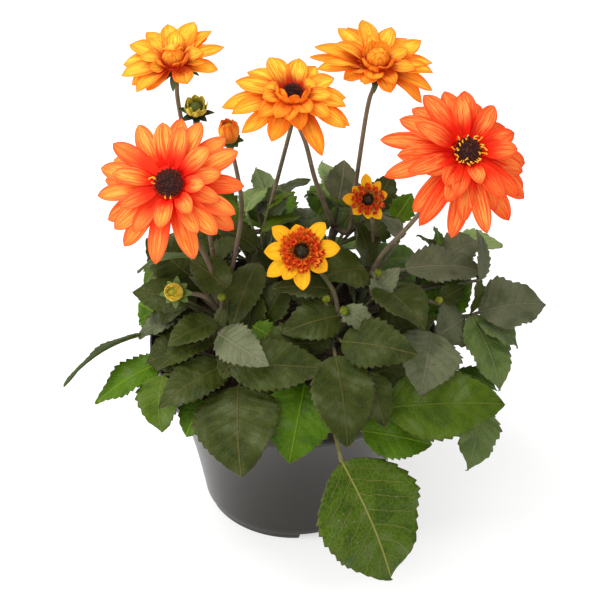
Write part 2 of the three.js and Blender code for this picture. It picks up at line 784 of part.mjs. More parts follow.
// Closed buds that are green all over, as [stem, place, radius]
const CLOSED_BUDS = [
  ['leafy_stem_left', [-51, 2, -50], 3.2],
  ['leafy_stem_front', [17, 0.7, -45], 3.2],
  ['leafy_stem_front', [29, -7, -57], 3.6],
  ['leafy_stem_right', [51, 17.6, -38], 3],
  ['leafy_stem_right', [90.5, 0, -25], 3],
  ['leafy_stem_back_left', [-3, 130, 31], 5],
];

const stemSolids = {};
const group = new THREE.Group();

function addPiece(name, solid, color, roughness) {
  const material = new THREE.MeshStandardMaterial({ color, roughness, metalness: 0, flatShading: true });
  const mesh = new THREE.Mesh(toGeometry(solid), material);
  mesh.name = name;
  group.add(mesh);
}

function wallRadius(z) {
  return WALL_FOOT_RADIUS + WALL_SLOPE * z + WALL_FLARE * (z / WALL_TOP) ** 3;
}

// The inside of the pot, drawn in by a clearance where the soil fills it
function innerProfile(floor, clearance, top) {
  const heights = [floor, WALL_BEND, WALL_TOP + WALL];
  const wall = heights.map((z) => [wallRadius(z) - WALL - clearance, z + clearance * 0.2]);
  return [
    [0, floor],
    ...wall,
    [RIM_RADIUS - WALL - clearance, RIM_BASE + WALL + clearance],
    [RIM_RADIUS - WALL - clearance, top],
  ];
}

function bar(width, bottom, top, from, to) {
  const box = new THREE.BoxGeometry(to - from, width, top - bottom);
  box.translate((from + to) / 2, 0, (bottom + top) / 2);
  return toSolid(box);
}

function roundBar(radius, from, to, sides) {
  return turned([[0, from], [radius, from], [radius, to], [0, to]], new THREE.Vector3(), UP, sides);
}

// Copies of a solid round the pot's axis
function round(solid, count, firstTurn) {
  return Array.from({ length: count }, (_, i) => solid.rotate([0, 0, firstTurn + (i * 360) / count]));
}

function buildPot() {
  const outer = turned([
    [0, 0],
    [FOOT_RADIUS, 0],
    [FOOT_RADIUS, FOOT_HEIGHT],
    ...[FOOT_HEIGHT, WALL_BEND, WALL_TOP].map((z) => [wallRadius(z), z]),
    [RIM_RADIUS - 1.6, RIM_BASE],
    [RIM_RADIUS, RIM_STRAIGHT_FROM],
    [RIM_RADIUS, POT_HEIGHT - 2],
    [RIM_RADIUS - 1, POT_HEIGHT],
    [0, POT_HEIGHT],
  ], new THREE.Vector3(), UP, POT_SIDES);
  const inside = innerProfile(FLOOR, 0, POT_HEIGHT + 1);
  const cavity = turned([...inside, [0, POT_HEIGHT + 1]], new THREE.Vector3(), UP, POT_SIDES);
  const drain = roundBar(DRAIN_HOLE_RADIUS, -1, 20, 8).translate([DRAIN_HOLE_AT, 0, 0]);
  const notch = bar(CHANNEL_WIDTH, -1, CHANNEL_HEIGHT, CHANNEL_START, WALL_FOOT_RADIUS + 10);
  return outer
    .subtract(cavity)
    .subtract(fuse(round(notch, CHANNEL_COUNT, CHANNEL_TURN - 90)))
    .subtract(fuse(round(drain, CHANNEL_COUNT, CHANNEL_TURN - 90 + 180 / CHANNEL_COUNT)));
}

// The soil's crumbly top: rings of points raised and lowered by seeded draws
function buildSoil() {
  const side = innerProfile(FLOOR + GAP, GAP, SOIL_TOP);
  const rings = [66, 34].map((r) => [r, SOIL_TOP]);
  const profile = [...side, ...rings, [0, SOIL_TOP]];
  const outline = profile.map(([r, z]) => new THREE.Vector2(r, z));
  const geometry = new THREE.LatheGeometry(outline, POT_SIDES);
  const positions = geometry.attributes.position;
  const random = seeded(7);
  const bumps = Array.from({ length: POT_SIDES * profile.length }, () => random(-SOIL_BUMP, SOIL_BUMP));
  for (let i = 0; i < positions.count; i += 1) {
    const ring = i % profile.length;
    const spoke = Math.floor(i / profile.length) % POT_SIDES;
    if (ring >= side.length && ring < profile.length - 1) {
      positions.setY(i, positions.getY(i) + bumps[spoke * profile.length + ring]);
    }
  }
  geometry.rotateX(Math.PI / 2);
  const hole = roundBar(STEM_RADIUS + HOLE_CLEARANCE, SOIL_TOP - HOLE_DEPTH - GAP, SOIL_TOP + 10, 6);
  const holes = Object.values(STEMS).map(({ foot }) => hole.translate([foot.x, foot.y, 0]));
  return toSolid(geometry).subtract(fuse(holes));
}

// Heights over the soil that keep a stem upright in its hole, and where it bends above it
const STEM_RISES = [-10, 3, 6];
const STEM_BEND_AT = 0.55;

function buildStem(name, { foot, crown, leaves }) {
  const bottom = foot.clone().addScaledVector(UP, -HOLE_DEPTH);
  const inHole = STEM_RISES.map((rise) => foot.clone().addScaledVector(UP, rise));
  const route = [bottom, ...inHole, foot.clone().lerp(crown, STEM_BEND_AT), crown];
  stemSolids[name] = [tube(route, STEM_RADIUS, 6, 1)];
  leaves.forEach(([rootAt, tipAt, width, options], rank) => {
    stemSolids[name].push(leaf(STEMS[name], rank, place(rootAt), place(tipAt), width, options));
  });
}

function buildBloom(name, bloom) {
  const frame = faceFrame(bloom);
  const { discRadius, outerLift, innerLift } = bloom;
  const coreRadius = discRadius + CORE_BEYOND_DISC;
  const core = turned(
    [[0, -CORE_HEIGHT], [coreRadius - 2, -CORE_HEIGHT], [coreRadius, -0.2], [0, -0.2]],
    frame.origin,
    frame.axis,
    10,
  );
  const random = seeded(name.length * 97 + discRadius);
  const layer = (i) => (i % 2 ? 1 : -1);
  const lifted = (lift, i) => lift + layer(i) * LAYER_STEP + random(-1, 1);
  const outer = bloom.outer.map(([turn, reach, lift = outerLift], i) => {
    const rootHeight = -2.8 + layer(i) * ROOT_STEP;
    return petal(frame, discRadius, rootHeight, [turn, reach, lifted(lift, i)], OUTER_PETAL_WIDTH);
  });
  const inner = bloom.inner.map(([turn, reach, lift = innerLift], i) => {
    const rootHeight = -1.1 + layer(i) * ROOT_STEP;
    return petal(frame, discRadius + 1, rootHeight, [turn, reach, lifted(lift, i)], INNER_PETAL_WIDTH);
  });
  const florets = bloom.florets.map((turn) => {
    const at = sheet({
      root: frame.point(turn, discRadius * 0.84, 2.4),
      tip: frame.point(turn, discRadius + 3.4, 5.8),
      facing: frame.axis,
    });
    return blade(at, { width: 1.7, thickness: 1.7, outline: [[0.75, 1]], ribs: [0.75] });
  });
  addPiece(`${name}_petals`, mainBody(fuse([core, ...outer, ...inner])), bloom.color, 0.6);
  addPiece(`${name}_disc`, mainBody(fuse([disc(frame, discRadius, 5), ...florets])), 0x3a1a16, 0.8);
  stemSolids[bloom.stem].push(calyx(frame, 6, -CORE_HEIGHT - GAP));
  stemSolids[bloom.stem].push(stalk(STEMS[bloom.stem], bloom.stalk, frame, -CORE_HEIGHT - 2));
}

function buildSmallBloom(name, bloom) {
  const frame = faceFrame(bloom);
  const { discRadius, ringRadius, rayLift } = bloom;
  const core = turned(
    [[0, -3], [discRadius, -3], [discRadius + 2, 0], [0, 0]],
    frame.origin,
    frame.axis,
    7,
  );
  const rays = bloom.rays.map(([turn, reach], i) => {
    const lift = rayLift + (i % 2 ? LAYER_STEP : -LAYER_STEP);
    return petal(frame, discRadius, -1.8, [turn, reach, lift], bloom.rayWidth);
  });
  const ring = turned(
    [
      [discRadius + 2 * GAP, GAP],
      [discRadius + 2.4, GAP],
      [discRadius + 2.4, 2.4],
      [discRadius + 2 * GAP, 2.4],
      [discRadius + 2 * GAP, GAP],
    ],
    frame.origin,
    frame.axis,
    8,
  );
  const florets = Array.from({ length: bloom.floretCount }, (_, i) => {
    const turn = (i * 360) / bloom.floretCount;
    const root = frame.point(turn, discRadius + 1.4, 1.4);
    const axis = frame.point(turn, ringRadius, 4.4).sub(root).normalize();
    return turned([[0, 0], [1.9, 4.2], [0, 2.8]], root, axis, 4);
  });
  addPiece(`${name}_rays`, mainBody(fuse([core, ...rays])), bloom.rayColor, 0.6);
  addPiece(`${name}_florets`, mainBody(fuse([ring, ...florets])), bloom.floretColor, 0.6);
  addPiece(`${name}_disc`, mainBody(disc(frame, discRadius, 4.4)), 0x2f2a18, 0.8);
  stemSolids[bloom.stem].push(calyx(frame, 4.5, -3 - GAP, 6));
  stemSolids[bloom.stem].push(stalk(STEMS[bloom.stem], bloom.stalk, frame, -5));
}

function buildBud(name, bud) {
  const frame = faceFrame(bud);
  const { radius, height, open } = bud;
  const core = turned(
    [[0, 0], [radius * 0.8, 0], [radius * 0.9, height * 0.45], [0, height * 0.85]],
    frame.origin,
    frame.axis,
    7,
  );
  const petals = Array.from({ length: bud.petals }, (_, i) => {
    const turn = (i * 360) / bud.petals;
    const root = frame.point(turn, radius * 0.7, 0.4);
    const tip = frame.point(turn + 8, radius * open, height * (i % 2 ? 1 : 0.9));
    const at = sheet({ root, tip, facing: root.clone().sub(frame.origin), arch: 0.16, fold: -0.3 });
    return blade(at, { width: radius * 0.95, thickness: 1.4, outline: [[0.5, 1]], ribs: [0.5] });
  });
  addPiece(`${name}_petals`, mainBody(fuse([core, ...petals])), bud.color, 0.6);
  stemSolids[bud.stem].push(calyx(frame, radius * 0.8, -GAP, bud.bractLength, bud.bractRise));
  stemSolids[bud.stem].push(stalk(STEMS[bud.stem], bud.stalk, frame, -3));
}

function buildClosedBud([stemName, at, radius]) {
  const middle = place(at);
  const stem = STEMS[stemName];
  const lift = middle.clone().addScaledVector(UP, -radius);
  stemSolids[stemName].push(turned(
    [[0, -radius], [radius * 0.9, -radius * 0.5], [radius, radius * 0.3], [0, radius * 1.1]],
    middle,
    UP,
    6,
  ));
  const bow = stem.crown.clone().lerp(lift, 0.5).addScaledVector(UP, -2);
  stemSolids[stemName].push(tube([stem.crown, bow, lift, middle], PETIOLE_RADIUS, 3, 1));
}

addPiece('pot', buildPot(), 0x3c3934, 0.45);
addPiece('soil', buildSoil(), 0x3a2a1e, 0.95);
for (const [name, stem] of Object.entries(STEMS)) buildStem(name, stem);
for (const [name, rows] of Object.entries(backLeaves())) {
  rows.forEach((row, rank) => stemSolids[name].push(leaf(STEMS[name], rank, ...row)));
}
for (const [name, bloom] of Object.entries(BLOOMS)) buildBloom(name, bloom);
for (const [name, bloom] of Object.entries(SMALL_BLOOMS)) buildSmallBloom(name, bloom);
for (const [name, bud] of Object.entries(BUDS)) buildBud(name, bud);
for (const bud of CLOSED_BUDS) buildClosedBud(bud);
for (const [name, solids] of Object.entries(stemSolids)) {
  addPiece(name, mainBody(fuse(solids)), 0x4a5d2e, 0.6);
}

export default group;
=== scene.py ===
import math
import random

import bpy
import numpy as np
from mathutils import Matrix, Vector


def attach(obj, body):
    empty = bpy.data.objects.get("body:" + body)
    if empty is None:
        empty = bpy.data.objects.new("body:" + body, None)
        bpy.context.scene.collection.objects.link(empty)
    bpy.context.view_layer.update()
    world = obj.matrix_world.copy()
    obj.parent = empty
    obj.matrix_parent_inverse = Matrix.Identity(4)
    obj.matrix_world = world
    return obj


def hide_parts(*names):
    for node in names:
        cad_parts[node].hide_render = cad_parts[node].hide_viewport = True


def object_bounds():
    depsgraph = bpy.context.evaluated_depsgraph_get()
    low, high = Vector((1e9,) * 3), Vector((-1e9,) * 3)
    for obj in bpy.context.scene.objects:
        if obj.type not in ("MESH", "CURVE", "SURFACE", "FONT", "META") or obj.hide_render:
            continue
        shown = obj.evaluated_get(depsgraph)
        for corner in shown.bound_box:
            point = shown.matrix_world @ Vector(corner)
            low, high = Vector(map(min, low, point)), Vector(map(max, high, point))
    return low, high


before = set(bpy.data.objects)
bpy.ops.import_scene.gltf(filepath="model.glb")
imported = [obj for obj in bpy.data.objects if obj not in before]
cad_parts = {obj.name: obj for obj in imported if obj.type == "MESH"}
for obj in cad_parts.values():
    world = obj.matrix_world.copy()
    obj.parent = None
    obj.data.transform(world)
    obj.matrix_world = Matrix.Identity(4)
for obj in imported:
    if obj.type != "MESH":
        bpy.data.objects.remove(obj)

cad_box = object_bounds()
MM = 0.001
CAD_LOW, CAD_HIGH = (np.array(corner) for corner in cad_box)

# The photograph's camera, in the model's millimetres
VIEW_TILT = math.radians(36)
VIEW_DISTANCE = 1500.0
VIEW_TARGET = np.array([4.0, 0.0, 155.0])
PICTURE_SCALE = 0.651
PICTURE_PIXELS = 600
SENSOR = 36.0
UP = np.array([0.0, 0.0, 1.0])
VIEW_BACK = np.array([0.0, -math.cos(VIEW_TILT), math.sin(VIEW_TILT)])
VIEW_UP = np.array([0.0, math.sin(VIEW_TILT), math.cos(VIEW_TILT)])
VIEW_EYE = VIEW_TARGET + VIEW_BACK * VIEW_DISTANCE

# Driving dimensions, as in the solids
POT_HEIGHT = 126
FOOT_RADIUS = 58.5
FOOT_HEIGHT = 5
WALL_FOOT_RADIUS = 59.8
WALL_SLOPE = 0.165
WALL_FLARE = 10.5
WALL_TOP = 105
WALL_BEND = 68
WALL = 1.8
FLOOR = 7
RIM_RADIUS = 95
RIM_BASE = 106.5
RIM_STRAIGHT_FROM = 113
CHANNEL_COUNT = 4
CHANNEL_WIDTH = 22
CHANNEL_HEIGHT = 5
CHANNEL_START = 30
CHANNEL_TURN = 14.5
SOIL_TOP = 112
HOLE_DEPTH = 28
GAP = 0.3
STEM_RADIUS = 3.4
PEDUNCLE_RADIUS = 1.6
PETIOLE_RADIUS = 1.3
RIM_CLEARANCE = 8
SHORT_STALK = 62
BELOW_CROWN = 6
STALK_SPACING = 5
STALK_RANKS = 4
STALK_SLOPE = 0.45
LOWEST_STALK = 10
STEM_BEND_AT = 0.55
BACK_FROM = 24
BACK_TO = 156
TIER_STEP = 5
OUTER_PETAL_WIDTH = 13
INNER_PETAL_WIDTH = 11.5
LAYER_STEP = 4
ROOT_STEP = 0.5
CORE_HEIGHT = 4
CORE_BEYOND_DISC = 2.6
CALYX_HEIGHT = 7
STEEP = 60
UPRIGHT = 90
STEEP_ARCH = 0.14
BOW_PER_DEGREE = 0.004

# Colours of stems and stalks, from their foot and towards their top
STEM_FOOT = (0.10, 0.13, 0.05)
SHOOT_FOOT = (0.12, 0.17, 0.06)
STALK_FOOT = (0.082, 0.054, 0.036)
GREEN_STALK = (0.19, 0.19, 0.065)
BROWN_STALK = (0.29, 0.21, 0.135)
LEAF_STALK_GREEN = (0.10, 0.115, 0.045)
LEAF_STALK_BROWN = (0.085, 0.060, 0.040)
CUP_GREEN = (0.075, 0.11, 0.035)
BUD_GREEN = (0.17, 0.19, 0.012)
BUD_STALK = (0.15, 0.115, 0.07)
PLAIN_TINT = (0.2, 0.2, 0.2)

# The look of a leaf by its letter: dark, grey, silvery, middle, bright, pale or the large front one,
# with the colour of its blade and of its veins. The grey and silvery blades are the leaves' green with
# painted sheen.
LEAF_TONES = {
    "d": ((0.036, 0.050, 0.004), (0.088, 0.080, 0.020)),
    "g": ((0.108, 0.120, 0.060), (0.175, 0.170, 0.100)),
    "s": ((0.116, 0.166, 0.040), (0.170, 0.205, 0.075)),
    "m": ((0.058, 0.100, 0.001), (0.115, 0.155, 0.018)),
    "b": ((0.062, 0.132, 0.001), (0.155, 0.250, 0.009)),
    "p": ((0.240, 0.330, 0.105), (0.310, 0.375, 0.160)),
    "f": ((0.058, 0.112, 0.001), (0.370, 0.340, 0.090)),
}
BACK_LOOKS = "mdmb"

# Colours of each kind of petal: base, middle, edge, streak, share of light let through, reach of the base
# colour, painted glow (an emission that stands in for light shining through), and how far a high
# tone-and-shade value tints the petals towards the base colour: random tone, and on amber blooms painted
# shade
PETAL_COLOURS = {
    "coral": ((0.92, 0.01, 0.004), (1, 0.29, 0.03), (0.98, 0.11, 0.03), (1, 0.58, 0.11), 0.28, 0.58, 0.08),
    "scarlet": ((0.88, 0.008, 0.002), (1, 0.15, 0.012), (0.98, 0.07, 0.012), (1, 0.5, 0.12), 0.3, 0.58, 0.08),
    "amber": ((0.52, 0.01, 0.003), (1, 0.48, 0.012), (1, 0.23, 0.012), (1, 0.7, 0.08), 0.32, 0.52, 0.2, 0.5),
    "golden": ((0.9, 0.13, 0.004), (1, 0.6, 0.012), (1, 0.5, 0.012), (1, 0.72, 0.03), 0.3),
    "orange": ((0.6, 0.22, 0.02), (1, 0.36, 0.02), (0.9, 0.1, 0.01), (1, 0.6, 0.06), 0.2, 0.3, 0.04),
    "green": ((0.060, 0.075, 0.015), (0.75, 0.56, 0.03), (0.40, 0.32, 0.03), (0.95, 0.74, 0.12), 0.15, 0.55),
    "lime": ((0.30, 0.28, 0.02), (0.78, 0.54, 0.03), (0.55, 0.34, 0.02), (0.92, 0.72, 0.12), 0.15),
}

# Leaf stalks that pass over the rim, and how much the others bow
OVER_RIM_FROM = RIM_RADIUS - 4
OVER_RIM_BELOW = POT_HEIGHT + 14
OVER_RIM_AT = RIM_RADIUS - 6
LONG_BOW = 0.08
SHORT_BOW = 0.03

# Forms of leaves and petals
LEAF_LEAN = math.radians(48)
LEAF_ARCH = 0.09
LEAF_FOLD = 0.14
LEAF_WAVE = 0.05
LEAF_SHOULDER = 0.74
LEAF_FULLNESS = 0.82
LEAF_PUCKER = 0.032
LEAF_RIM_WAVE = 0.05
LEAF_RIM_WAVES = 2.1
LEAF_STALK_RADIUS = 1.25
RIB_FROM = 0.85
RIB_TO = 0.15
PETAL_FOLD = 0.16
FLAT_PETAL_ARCH = 0.08
PETAL_FOOT = 0.40
PETAL_FULL_FROM = 0.50
PETAL_NARROW_FROM = 0.54
PETAL_CURL_FROM = 0.62
PETAL_NOTCH_FROM = 0.6

# Finer forms and counts
BOWED_PETAL_WIDTH = 8.5
BLOOM_STALK_RADIUS = 1.5
THIN_STALK_RADIUS = 1.4
BRACT_COUNT = 8
BRACT_WIDTH = 4.6
GOLDEN_TURN = 137.508
LEAF_COLUMNS = 17
LEAF_THICKNESS = 0.5
PETAL_THICKNESS = 0.4
TOOTH_PITCH = 4.4
FEWEST_TEETH = 6
MOST_TEETH = 14
TOOTH_PEAK = 0.82
TOOTH_DEPTH = 2.0
VEIN_SPACING = 0.125
VEIN_SWEEP = 0.24
CRUMB_COUNT = 900
FOOT_CLEARANCE = 3.5
GROUND_WAVES = 26
POT_SIDES = 240
SOIL_SIDES = 200
SOIL_RINGS = 70
DISC_HEIGHT = 5.0
SMALL_DISC_HEIGHT = 4.4

# Coordinates of points off any blade
NO_BLADE = (0.0, 0.0, -1.0)


def vec(*values):
    return np.array(values, dtype=float)


def unit(vector):
    return vector / np.linalg.norm(vector)


def place(spot):
    """A place in the picture, as millimetres across, up and behind the pot's axis, in space."""
    across, up, behind = spot
    ray = vec(across, 0, 0) + VIEW_UP * up - VIEW_BACK * VIEW_DISTANCE
    return VIEW_EYE + ray * ((behind - VIEW_EYE[1]) / ray[1])


def seeded(seed):
    """Random numbers that repeat on every run, the same as in the solids."""
    state = [seed]

    def draw(low, high):
        state[0] = (state[0] * 16807) % 2147483647
        return low + (high - low) * (state[0] / 2147483647)

    return draw


# Each stem: where it enters the soil, its top, its colours from foot to top, a letter for the look
# of each leaf, and the leaves as root, tip, width and options. Roots and tips are places in the
# picture, which place() turns into space.
STEMS = {
    "leafy_stem_left": {
        "foot": vec(-22, -14, SOIL_TOP), "crown": vec(-46, -36, 172),
        "tints": (STEM_FOOT, (0.085, 0.070, 0.045)), "looks": "dpdbgmddgdddddddddbmd",
        "leaves": (
            ((-72, 16, -10), (-100, 40, 5), 33), ((-72, 29, -20), (-106, 18, -25), 22, {"roll": 50}),
            ((-72, -1, -35), (-109, 5, -27), 26), ((-88, -12, -20), (-105, -2, -10), 26),
            ((-81, -12, -30), (-105, -25, -40), 21), ((-103, -22, -38), (-154, -57, -60), 26, {"roll": 45}),
            ((-54, -14, -45), (-86, -30, -62), 26), ((-57, -25, -48), (-94, -46, -70), 20),
            ((-53, -22, -58), (-20, -43, -92), 28), ((-27, 24, -20), (-44, -20, -55), 28),
            ((-46, 7, -35), (-72, 27, -20), 26), ((-52, -20, -48), (-47, 0, -42), 12),
            ((-47, 25, 0), (-65, 39, 5), 21), ((-28, 33, 5), (-57, 47, 12), 28),
            ((-68, 5, -16), (-90, -17, -37), 29), ((-60, 4, -4), (-78, 29, 1), 29),
            ((-69, -17, -30), (-101, -14, -25), 31), ((-29, 6, -37), (-33, -23, -42), 29),
            ((-83, 3, 0), (-105, -16, 0), 31), ((-80, 28, 5), (-102, 8, 0), 31, {"from": (-83, 3, 0)}),
            ((-57, 25, -10), (-39, 40, -3), 24, {"from": (-72, 16, -10)}),
        ),
    },
    "leafy_stem_front": {
        "foot": vec(6, -28, SOIL_TOP), "crown": vec(29, -50, 172),
        "tints": (STEM_FOOT, (0.085, 0.070, 0.045)), "looks": "dddgddbddddd",
        "leaves": (
            ((23, -36, -80), (31, -96, -118), 42), ((27, -27, -68), (77, -36, -84), 35),
            ((27, -10, -48), (-12, -22, -62), 31), ((28, -5, -52), (48, -22, -66), 20),
            ((-23, -14, -45), (-7, 13, -30), 26), ((20, 7, -38), (-18, 7, -42), 21),
            ((-31, -17, -55), (-12, -29, -62), 18), ((42, -47, -86), (55, -83, -103), 26),
            ((16, -5, -22), (-11, 10, -14), 29), ((5, -28, -59), (-27, -34, -72), 31),
            ((14, -14, -45), (-1, -37, -59), 30), ((-25, -29, -56), (-1, -47, -70), 26),
        ),
    },
    "leafy_stem_right": {
        "foot": vec(26, -4, SOIL_TOP), "crown": vec(50, -12, 186),
        "tints": (STEM_FOOT, (0.08, 0.075, 0.045)), "looks": "gdddgdbgdssgggpddbdgbd",
        "leaves": (
            ((68, 20, -10), (120, 18, 5), 33), ((51, 9, -30), (81, -19, -62), 42),
            ((43, 20, -12), (16, 15, -25), 37), ((45, 21, -5), (36, 51, 10), 26),
            ((47, 3, -35), (65, 21, -28), 17), ((89, 31, 8), (76, 42, 20), 17),
            ((90, 36, 11), (87, 48, 25), 12, {"from": (89, 31, 8)}), ((65, 39, 5), (51, 56, 22), 24),
            ((91, 0, -15), (107, 9, -5), 17), ((111, -10, -12), (130, -59, -45), 38, {"roll": 22}),
            ((115, -13, -13), (142, -31, -22), 34, {"from": (111, -10, -12)}),
            ((116, -8, -10), (160, -3, 0), 44, {"from": (111, -10, -12)}),
            ((107, -12, -15), (88, -24, -35), 36, {"from": (111, -10, -12)}),
            ((117, 13, -5), (115, 46, 25), 18), ((96, 35, 35), (132, 35, 30), 24, {"roll": 35}),
            ((116, 16, -2), (110, -10, -14), 15), ((35, -5, -11), (30, 26, -9), 34),
            ((78, -8, -11), (112, 12, 11), 36), ((78, 4, 3), (98, 26, 16), 29),
            ((91, 27, 9), (116, 38, 29), 26), ((81, 29, 22), (89, 47, 26), 15),
            ((44, 39, 13), (64, 53, 25), 24),
        ),
    },
    "basal_shoot_left": {
        "foot": vec(-12, -36, SOIL_TOP), "crown": vec(-20, -48, 142),
        "tints": (SHOOT_FOOT, (0.11, 0.15, 0.05)), "looks": "dbddbmbddd",
        "leaves": (
            ((-40, -56, -78), (-38, -115, -125), 58), ((3, -55, -82), (-7, -106, -114), 48),
            ((-46, -43, -75), (19, -45, -83), 36, {"from": (-48, -48, -62)}),
            ((-48, -42, -62), (-92, -71, -92), 33), ((-88, -40, -50), (-133, -68, -62), 28),
            ((-89, -49, -68), (-90, -86, -85), 37), ((-62, -66, -80), (-74, -89, -92), 26),
            ((-70, -33, -49), (-100, -41, -56), 34), ((-37, -32, -56), (-51, -52, -76), 24),
            ((-34, -55, -77), (-22, -78, -98), 28),
        ),
    },
    "basal_shoot_right": {
        "foot": vec(26, -34, SOIL_TOP), "crown": vec(40, -52, 140),
        "tints": (SHOOT_FOOT, (0.11, 0.15, 0.05)), "looks": "fgmbsbdd",
        "leaves": (
            ((27, -105, -112), (59, -181, -128), 73), ((85, -21, -45), (78, -62, -88), 44, {"roll": 20}),
            ((55, -70, -88), (133, -68, -72), 50), ((40, -85, -96), (86, -94, -92), 33),
            ((114, -65, -45), (109, -111, -78), 40), ((102, -47, -30), (128, -59, -35), 19),
            ((47, -27, -36), (88, -13, -38), 40),
            ((47, -48, -63), (79, -40, -63), 36, {"from": (47, -27, -36)}),
        ),
    },
    "leafy_stem_back_left": {
        "foot": vec(-16, 18, SOIL_TOP), "crown": vec(-20, 28, 190),
        "tints": (STEM_FOOT, (0.075, 0.06, 0.04)), "looks": "dmmpmdpd",
        "leaves": (
            ((-27, 56, 35), (7, 78, 60), 33), ((-21, 59, 25), (-3, 70, 35), 14),
            ((-25, 44, 15), (2, 54, 28), 19), ((-35, 57, 30), (-21, 76, 55), 24),
            ((-40, 44, 26), (-47, 68, 48), 15), ((-21, 5, 7), (-36, 35, 16), 34),
            ((-19, 52, 37), (-29, 86, 46), 31), ((-48, 27, 13), (-76, 43, 29), 31),
        ),
    },
    "leafy_stem_back_right": {
        "foot": vec(16, 20, SOIL_TOP), "crown": vec(26, 34, 190), "tints": (STEM_FOOT, (0.075, 0.06, 0.04)),
        "looks": "pmbdgg",
        "leaves": (
            ((29, 57, 40), (14, 90, 75), 40), ((34, 60, 35), (3, 68, 50), 31),
            ((61, 51, 28), (73, 69, 46), 19), ((47, 57, 35), (60, 82, 60), 21),
            ((25, 61, 45), (37, 74, 62), 19), ((24, 60, 38), (29, 91, 63), 27),
        ),
    },
}

# The tiers of leaves at the unseen back
BACK_TIERS = (
    {"count": 6, "root_radius": 84, "root_height": 139, "tip_radius": 134, "tip_height": 112, "width": 44},
    {"count": 6, "root_radius": 62, "root_height": 166, "tip_radius": 112, "tip_height": 158, "width": 40},
    {"count": 4, "root_radius": 50, "root_height": 188, "tip_radius": 88, "tip_height": 196, "width": 34},
)

